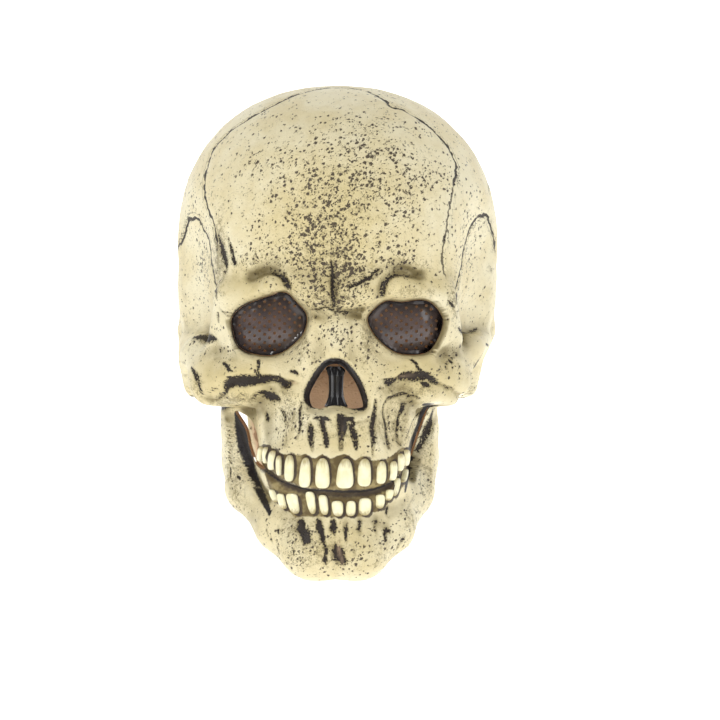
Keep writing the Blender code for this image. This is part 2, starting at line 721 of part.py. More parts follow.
def main():
    clear_scene()
    parts = new_collection("skull_mask")
    cutters = new_collection("cutters")
    materials = {name: make_material(name) for name in FINISHES}
    relief = FaceRelief()

    outer = ball_skin("outer_skin", 0.0, relief, OUTER_TRIANGLES, False)
    inner = ball_skin("inner_skin", -WALL, relief, INNER_TRIANGLES, True)
    make_shell(outer, inner, parts, cutters, materials["bone_latex"])

    seat_mesh = settled_mesh(outer)
    seat = bpy.data.objects.new("tooth_seat", seat_mesh)
    cutters.objects.link(seat)
    seat.hide_render = True
    seat.display_type = "WIRE"
    swell = seat.modifiers.new("clearance", "DISPLACE")
    swell.strength = FIT_GAP * MM
    swell.mid_level = 0.0
    bpy.data.objects.remove(outer, do_unlink=True)
    bpy.data.objects.remove(inner, do_unlink=True)

    make_screen("left_eye_screen", EYE_LEFT, relief, parts, materials["eye_screen"])
    make_screen("right_eye_screen", EYE_RIGHT, relief, parts, materials["eye_screen"])
    make_septum(relief, parts, materials["black_septum"])
    for jaw, table in (("upper", UPPER_TEETH), ("lower", LOWER_TEETH)):
        for number, place in enumerate(tooth_places(table, relief), start=1):
            name = f"{jaw}_tooth_{number:02d}"
            height = table[number - 1][3]
            make_tooth(name, place, height, seat, parts, materials["tooth_enamel"])


main()
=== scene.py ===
# Skull mask, dressed for its picture: a full-head latex shell painted as old
# bone, with smoked eye screens, a glossy black septum and ivory teeth.
#
# The forms are worked out in face millimetres: z is 0 at eye level, x goes to
# the right as seen from the front and the face looks along -y. toRow brings
# them into the frame of the part.

import math
import bpy
import numpy as np
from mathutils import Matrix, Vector, noise


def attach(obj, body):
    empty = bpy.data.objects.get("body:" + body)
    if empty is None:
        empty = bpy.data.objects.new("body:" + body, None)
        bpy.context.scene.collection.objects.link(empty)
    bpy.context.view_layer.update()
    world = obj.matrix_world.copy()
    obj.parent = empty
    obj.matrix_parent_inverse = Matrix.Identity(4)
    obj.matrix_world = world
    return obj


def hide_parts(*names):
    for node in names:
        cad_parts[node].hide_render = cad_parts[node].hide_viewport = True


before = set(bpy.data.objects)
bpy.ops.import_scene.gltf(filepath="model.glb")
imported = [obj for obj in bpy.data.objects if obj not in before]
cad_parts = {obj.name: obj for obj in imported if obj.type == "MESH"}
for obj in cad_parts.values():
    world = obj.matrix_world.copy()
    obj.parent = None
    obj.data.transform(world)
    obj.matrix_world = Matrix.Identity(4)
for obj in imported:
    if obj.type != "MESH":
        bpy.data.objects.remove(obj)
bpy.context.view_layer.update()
print("frame loaded")

# camera, floor and light

camera = {
    "place": (0.01404, -1.894, -0.1618),
    "lens": 157.05,
    "frameSide": 720,
    "sensor": 36.0,
    "depthGuess": -80.0,
}
seat = (0.0, 14.0, 136.9)       # where the origin of the part lies, face millimetres


def toRow(points):
    return (np.asarray(points, dtype=float) - seat) * 0.001


def toFace(points):
    return np.asarray(points, dtype=float) * 1000.0 + seat


def makeCamera():
    bpy.ops.object.camera_add(location=camera["place"], rotation=(math.pi / 2, 0, 0))
    eye = bpy.context.object
    eye.name = "photoCamera"
    eye.data.lens = camera["lens"]
    eye.data.sensor_width = camera["sensor"]
    eye.data.clip_end = 20.0
    bpy.context.scene.camera = eye


makeCamera()

studio = {
    "floorHeight": -0.395,
    "floorColour": (0.93, 0.93, 0.925),
    "floorFront": -4.0,
    "sweepDepth": 1.6,
    "sweepHeight": 2.4,
    "sweepRound": 0.6,
    "sweepTurns": 14,
    "halfWidth": 3.5,
    "worldLight": 0.18,
    "floorGlow": 0.72,
    # name, place, aimed at, size, power in watts
    "lamps": (
        ("keyLeft", (-0.85, -1.45, 1.15), (0.0, 0.0, -0.12), 0.7, 20.3),
        ("fillRight", (1.5, -1.3, 0.4), (0.0, 0.0, -0.14), 1.0, 8.0),
        ("topSoft", (0.0, -0.5, 1.5), (0.0, 0.0, 0.0), 1.0, 1.8),
        ("rimLeft", (-1.5, 0.45, 0.4), (0.0, 0.0, -0.1), 1.0, 0.9),
        ("rimRight", (1.5, 0.45, 0.4), (0.0, 0.0, -0.1), 1.0, 3.5),
        ("underInside", (0.0, 0.35, -0.36), (0.0, 0.02, -0.1), 0.3, 1.8),
    ),
}


def makeStage():
    bpy.ops.object.select_all(action="DESELECT")
    half, height = studio["halfWidth"], studio["floorHeight"]
    bpy.ops.mesh.primitive_plane_add(size=1.0)
    sweep = bpy.context.object
    sweep.name = "paleFloor"
    turns = studio["sweepTurns"]
    line = [(studio["floorFront"], height), (studio["sweepDepth"] - studio["sweepRound"], height)]
    for step in range(1, turns + 1):
        turn = step / turns * math.pi / 2
        line.append((studio["sweepDepth"] - studio["sweepRound"] + studio["sweepRound"] * math.sin(turn),
                     height + studio["sweepRound"] * (1 - math.cos(turn))))
    line.append((studio["sweepDepth"], studio["sweepHeight"]))
    mesh = bpy.data.meshes.new("paleFloor")
    verts = [(x, y, z) for y, z in line for x in (-half, half)]
    faces = [(2 * i, 2 * i + 1, 2 * i + 3, 2 * i + 2) for i in range(len(line) - 1)]
    mesh.from_pydata(verts, [], faces)
    sweep.data = mesh
    mesh.shade_smooth()
    paper = bpy.data.materials.new("palePaper")
    paper.use_nodes = True
    shader = paper.node_tree.nodes["Principled BSDF"]
    shader.inputs["Base Color"].default_value = (*studio["floorColour"], 1)
    shader.inputs["Roughness"].default_value = 0.9
    shader.inputs["Emission Color"].default_value = (1, 1, 1, 1)
    shader.inputs["Emission Strength"].default_value = studio["floorGlow"]
    mesh.materials.append(paper)


def makeLamps():
    for name, place, aim, size, power in studio["lamps"]:
        bpy.ops.object.light_add(type="AREA", location=place)
        lamp = bpy.context.object
        lamp.name = name
        lamp.data.shape = "DISK"
        lamp.data.size = size
        lamp.data.energy = power
        away = Vector(place) - Vector(aim)
        lamp.rotation_euler = away.to_track_quat("Z", "Y").to_euler()
    world = bpy.data.worlds.new("whiteStudio")
    world.use_nodes = True
    world.node_tree.nodes["Background"].inputs["Color"].default_value = (1, 1, 1, 1)
    world.node_tree.nodes["Background"].inputs["Strength"].default_value = studio["worldLight"]
    bpy.context.scene.world = world
    bpy.context.scene.view_settings.view_transform = "Standard"


makeStage()
makeLamps()
print("camera, floor and lamps set")

# the form of the skull

skull = {
    "wall": 2.6,
    # rounded masses: name, centre x y z, half sizes x y z, squareness, blend, pair
    "balls": (
        ("cranium", 0.6, 14, 45, 96, 112, 94.5, 2.2, 0, False),
        ("craniumBase", 0, 26, 10, 95.0, 88, 47, 2.6, 8, False),
        ("nape", 0, 50, -44, 56, 44, 86, 2.2, 18, False),
        ("muzzle", 0, -60, -84, 45, 46, 38, 2.7, 10, False),
        ("maxilla", 0, -58, -50, 46, 40, 30, 2.3, 12, False),
        ("eyeFloor", 37, -66, -4, 31, 22, 27, 2.3, 6, True),
        ("noseFloor", 0, -78, -38, 17, 19, 24, 2.3, 6, False),
        ("ramus", 50, -34, -58, 14.0, 24, 42, 2.6, 5, True),
        ("chin", 0, -86, -133, 29, 17, 17, 3.0, 10, False),
        ("throatFront", 0, -72, -118, 30, 26, 24, 2.2, 8, False),
        ("throatMiddle", 0, -48, -96, 42, 34, 24, 2.2, 8, False),
        ("throatBack", 0, -25, -70, 46, 34, 26, 2.2, 8, False),
    ),
    # rounded bars, all in pairs: name, end x y z radius, end x y z radius, blend
    "bars": (
        ("browInside", 8, -93, 12, 9.5, 33, -89.5, 17, 9, 8),
        ("browOutside", 33, -89.5, 17, 9, 60, -70, 12, 8.5, 6),
        ("eyeSocketSide", 60, -70, 12, 8.5, 66, -62, -14, 8, 6),
        ("noseBridge", 0, -88, 6, 10, 0, -97, -20, 7.5, 9),
        ("noseSide", 9, -86, -8, 8, 21, -88, -44, 9, 8),
        ("underEye", 22, -83, -33, 9, 52, -74, -34, 12, 8),
        ("cheekbone", 50, -74, -38, 13, 67, -60, -38, 14, 8),
        ("cheekArchFront", 67, -58, -32, 13, 78, -38, -20, 9.5, 8),
        ("cheekArchBack", 78, -38, -21, 9.5, 86, 0, -14, 7.5, 6),
        ("mastoidTop", 86.5, 16, -8, 9, 80.5, 20, -39.5, 8.5, 6),
        ("jawAngle", 51, -26, -84, 12, 46, -52, -100, 13, 8),
        ("jawBody", 46, -52, -100, 13, 30, -76, -121, 14, 8),
        ("jawFront", 30, -76, -121, 14, 12, -88, -134, 15, 8),
    ),
    # rounded hollows, all in pairs: name, centre, half sizes, blend, under the bars
    "hollows": (
        ("temple", 99, -60, 30, 25, 44, 46, 14, True),
        ("behindEye", 96, -44, 0, 24, 34, 24, 10, True),
        ("cheekValley", 58, -78, -78, 12, 26, 26, 5, False),
        ("aboveTeeth", 37, -98, -58, 10, 14, 16, 8, False),
    ),
    "lean": -3.6,
    "leanSide": (42.0, 62.0),
    "leanHeight": (-8.0, -28.0),
    "spine": ((-112.0, -55.0), (-40.0, -14.0), (15.0, 10.0), (45.0, 14.0)),
    "eyeSink": (8.0, 2.6, 3.0),
    "noseSink": (7.0, 2.0, 2.6),
    "noseInset": 2.6,
    "eyeInset": 0.6,
    "rim": ((-70, -158), (-72, -143), (-52, -121), (-31, -100), (-17, -90), (-9, -70),
            (-5, -48), (0, -27), (7, -33), (12, -46), (18, -49), (26, -47), (33, -42),
            (39, -54), (45, -78), (54, -94), (70, -98), (150, -98)),
    "neckCentre": (0, -34),
    "neckHalf": (36, 44),
    "passageCentre": (0, 14),
    "passageHalf": (48, 50),
    # cells of the balls that are pulled out to the surface: round, dome, face, under
    "outerCells": (336, 96, 140, 16),
    "innerCells": (120, 22, 54, 8),
    "crowding": 0.45,
}

outlines = {
    "eyeLeft": ((-60.5, -4.1), (-58.8, 1.8), (-53.2, 6.7), (-45.9, 9.9), (-36.8, 12.9),
                (-28.3, 14.5), (-21.6, 8.6), (-15.9, 1.2), (-16.9, -8.1), (-22.6, -15.6),
                (-32.0, -21.9), (-43.0, -22.9), (-56.0, -17.9)),
    "eyeRight": ((17.6, -2.0), (20.8, 4.0), (28.8, 9.6), (38.0, 9.2), (48.5, 10.4),
                 (55.6, 8.4), (61.5, 1.1), (62.0, -6.5), (56.6, -17.9), (50.0, -22.1),
                 (38.0, -22.3), (29.4, -18.5), (21.5, -10.8)),
    "nose": ((-1.0, -24.6), (-7.2, -27.2), (-13.0, -35.2), (-17.2, -44.6), (-15.2, -53.0),
             (-8.6, -55.2), (0.9, -53.0), (9.6, -55.2), (17.8, -53.0), (17.0, -44.6),
             (12.4, -34.4), (5.2, -26.2)),
    "cheekGap": ((-58.6, -54.6), (-50.4, -58.2), (-46.6, -64.6), (-44.6, -73.0), (-43.8, -81.5),
                 (-40.0, -87.2), (-45.6, -86.0), (-50.0, -76.0), (-52.4, -65.5)),
    "cheekSlit": ((53.6, -52.0), (49.8, -59.0), (47.2, -66.6), (44.6, -75.0), (42.8, -81.0),
                  (43.8, -80.6), (46.0, -74.6), (48.6, -66.6), (51.2, -59.2)),
}

# broad grooves seen from the front: name, depth, half width, x z points
broadGrooves = (
    ("mouth", 2.6, 2.2, ((-40, -84), (-33, -92), (-22, -98.5), (-8, -101.5), (6, -101.8),
                         (18, -100.5), (28, -96.5), (35, -91.5), (42, -84))),
    ("browCreaseLeft", 3.0, 3.4, ((-46, 22), (-39, 25), (-32, 24), (-26, 15))),
    ("browCreaseRight", 3.0, 3.4, ((25, 13), (29, 21), (37, 26), (47, 23))),
    ("cheekBandLeft", 2.2, 3.6, ((-72, -46), (-62, -39), (-46, -35.5), (-26, -39))),
    ("cheekBandRight", 2.2, 3.6, ((27, -40), (46, -35.5), (60, -40), (74, -47))),
    ("valleyLeft", 4.0, 3.6, ((-60, -58), (-56, -71), (-51, -86), (-44, -97), (-37, -104))),
    ("valleyRight", 3.2, 3.4, ((60, -54), (51, -66), (46, -80), (42, -92))),
    ("noseRoot", 1.8, 4.0, ((-14, 2), (0, 1), (14, 3))),
    ("underLip", 2.2, 7.0, ((-22, -121), (0, -124), (22, -121))),
)


def smoothStep(value):
    clipped = np.clip(value, 0.0, 1.0)
    return clipped * clipped * (3.0 - 2.0 * clipped)


def blendMin(first, second, blend):
    if blend <= 0:
        return np.minimum(first, second)
    share = np.clip(0.5 + 0.5 * (second - first) / blend, 0.0, 1.0)
    return second * (1 - share) + first * share - blend * share * (1 - share)


def ballDistance(points, centre, halfSizes, squareness):
    offset = points - np.array(centre, dtype=float)
    scaled = np.abs(offset / np.array(halfSizes, dtype=float)) ** squareness
    reach = np.maximum(scaled.sum(axis=1) ** (1.0 / squareness), 1e-6)
    return np.linalg.norm(offset, axis=1) * (1.0 - 1.0 / reach)


def barDistance(points, start, startRadius, end, endRadius):
    start = np.array(start, dtype=float)
    along = np.array(end, dtype=float) - start
    share = np.clip((points - start) @ along / (along @ along), 0.0, 1.0)
    nearest = start + share[:, None] * along
    return np.linalg.norm(points - nearest, axis=1) - startRadius - share * (endRadius - startRadius)


# a smooth run of points through a few given ones, in any number of dimensions
def smoothRun(points, closed, steps):
    given = [np.array(point, dtype=float) for point in points]
    count = len(given)
    run = []
    for index in range(count if closed else count - 1):
        if closed:
            before, here = given[index - 1], given[index]
            after, beyond = given[(index + 1) % count], given[(index + 2) % count]
        else:
            before, here = given[max(index - 1, 0)], given[index]
            after, beyond = given[index + 1], given[min(index + 2, count - 1)]
        for step in range(steps):
            t = step / steps
            run.append(0.5 * (2 * here + (after - before) * t
                              + (2 * before - 5 * here + 4 * after - beyond) * t ** 2
                              + (3 * here - before - 3 * after + beyond) * t ** 3))
    if not closed:
        run.append(given[-1])
    return np.array(run)


def runDistance(places, run, closed):
    best = np.full(len(places), 1e9)
    for index in range(len(run) if closed else len(run) - 1):
        start, end = run[index], run[(index + 1) % len(run)]
        along = end - start
        share = np.clip((places - start) @ along / (along @ along), 0.0, 1.0)
        best = np.minimum(best, np.linalg.norm(places - start - share[:, None] * along, axis=1))
    return best


def insideRun(places, run):
    inside = np.zeros(len(places), dtype=bool)
    for index in range(len(run)):
        (x0, z0), (x1, z1) = run[index], run[(index + 1) % len(run)]
        crosses = (z0 > places[:, 1]) != (z1 > places[:, 1])
        level = (places[:, 1] - z0) / (z1 - z0 if z1 != z0 else 1e-9)
        inside ^= crosses & (places[:, 0] < x0 + level * (x1 - x0))
    return inside


# how deep a place lies inside a closed run, less than 0 outside it
def signedGap(places, run):
    gap = runDistance(places, run, True)
    return np.where(insideRun(places, run), gap, -gap)


def insetRun(run, distance):
    before, after = np.roll(run, 1, axis=0), np.roll(run, -1, axis=0)
    along = after - before
    along /= np.linalg.norm(along, axis=1)[:, None]
    inward = np.stack([-along[:, 1], along[:, 0]], axis=1)
    area = np.sum(run[:, 0] * after[:, 1] - after[:, 0] * run[:, 1])
    return run + inward * distance * np.sign(area)


# depths to sink seen from the front, kept on a fine grid of x and z
grid = {"step": 0.8, "halfWidth": 105.0, "foot": -160.0, "top": 60.0, "frontFrom": -20.0}


def makeRelief():
    columns = np.arange(-grid["halfWidth"], grid["halfWidth"] + grid["step"], grid["step"])
    rows = np.arange(grid["foot"], grid["top"] + grid["step"], grid["step"])
    gridX, gridZ = np.meshgrid(columns, rows, indexing="ij")
    places = np.stack([gridX.ravel(), gridZ.ravel()], axis=1)
    depth = np.zeros(len(places))
    for name, sink in (("eyeLeft", "eyeSink"), ("eyeRight", "eyeSink"), ("nose", "noseSink")):
        most, outside, inside = skull[sink]
        gap = signedGap(places, smoothRun(outlines[name], True, 5))
        depth += most * smoothStep((gap + outside) / (outside + inside))
    for _, most, halfWidth, line in broadGrooves:
        gap = runDistance(places, smoothRun(line, False, 6), False)
        depth += most * np.exp(-(gap / halfWidth) ** 2)
    depth = depth.reshape(gridX.shape)
    spread = depth
    reach = int(round(skull["wall"] / grid["step"]))
    for right in range(-reach, reach + 1):
        for up in range(-reach, reach + 1):
            if right * right + up * up <= reach * reach + 1:
                spread = np.maximum(spread, np.roll(depth, (right, up), axis=(0, 1)))
    for _ in range(2):
        for axis in (0, 1):
            spread = (np.roll(spread, 1, axis) + 2 * spread + np.roll(spread, -1, axis)) / 4
    return depth, spread


outerRelief, innerRelief = makeRelief()


def reliefAt(points, depth):
    column = np.clip((points[:, 0] + grid["halfWidth"]) / grid["step"], 0, depth.shape[0] - 1.001)
    row = np.clip((points[:, 2] - grid["foot"]) / grid["step"], 0, depth.shape[1] - 1.001)
    left, low = column.astype(int), row.astype(int)
    across, up = column - left, row - low
    lower = depth[left, low] * (1 - across) + depth[left + 1, low] * across
    upper = depth[left, low + 1] * (1 - across) + depth[left + 1, low + 1] * across
    onFront = smoothStep((grid["frontFrom"] - points[:, 1]) / 20.0)
    return (lower * (1 - up) + upper * up) * onFront


def sinkHollows(distance, paired, underBars):
    for _, x, y, z, width, depth, height, blend, under in skull["hollows"]:
        if under == underBars:
            part = ballDistance(paired, (x, y, z), (width, depth, height), 2.0)
            distance = -blendMin(-distance, part, blend)
    return distance


# distance from the skull's surface, less than 0 inside
def skullDistance(points, depth):
    paired = points.copy()
    (sideFrom, sideTo), (highFrom, highTo) = skull["leanSide"], skull["leanHeight"]
    side = smoothStep((np.abs(points[:, 0]) - sideFrom) / (sideTo - sideFrom))
    drop = smoothStep((points[:, 2] - highFrom) / (highTo - highFrom))
    paired[:, 0] = np.abs(paired[:, 0] - skull["lean"] * side * drop)
    distance = np.full(len(points), 1e9)
    for _, x, y, z, width, deep, height, squareness, blend, pair in skull["balls"]:
        part = ballDistance(paired if pair else points, (x, y, z), (width, deep, height), squareness)
        distance = blendMin(distance, part, blend)
    distance = sinkHollows(distance, paired, True)
    for _, x0, y0, z0, r0, x1, y1, z1, r1, blend in skull["bars"]:
        distance = blendMin(distance, barDistance(paired, (x0, y0, z0), r0, (x1, y1, z1), r1), blend)
    distance = sinkHollows(distance, paired, False)
    return distance + reliefAt(points, depth)


# the farthest point of each ray that lies at the given level of the form
def traceOut(starts, directions, level, depth, steps=46):
    travel = np.full(len(starts), 190.0)
    for _ in range(steps):
        points = starts + directions * travel[:, None]
        travel -= (skullDistance(points, depth) - level) * 0.6
        travel = np.maximum(travel, 1.0)
    return starts + directions * travel[:, None]


def frontPoints(places, level=0.0):
    starts = np.stack([places[:, 0], np.zeros(len(places)), places[:, 1]], axis=1)
    directions = np.tile((0.0, -1.0, 0.0), (len(places), 1))
    return traceOut(starts, directions, level, outerRelief)


# the point of the skin that shows at each pixel of the photograph
def skinAt(pixels, level=0.0):
    pixels = np.asarray(pixels, dtype=float)
    eye = toFace([camera["place"]])[0]
    focus = camera["lens"] / camera["sensor"] * camera["frameSide"]
    depth = np.full(len(pixels), camera["depthGuess"])
    half = camera["frameSide"] / 2
    for _ in range(4):
        scale = focus / (depth - eye[1])
        x = eye[0] + (pixels[:, 0] - half) / scale
        z = eye[2] - (pixels[:, 1] - half) / scale
        found = frontPoints(np.stack([x, z], axis=1), level)
        depth = found[:, 1]
    return found


def seenPixels(points):
    eye = toFace([camera["place"]])[0]
    scale = camera["lens"] / camera["sensor"] * camera["frameSide"] / (points[:, 1] - eye[1])
    half = camera["frameSide"] / 2
    return np.stack([half + (points[:, 0] - eye[0]) * scale, half - (points[:, 2] - eye[2]) * scale], axis=1)


print("form of the skull ready")

# strokes, cracks and sutures, as they show in the photograph

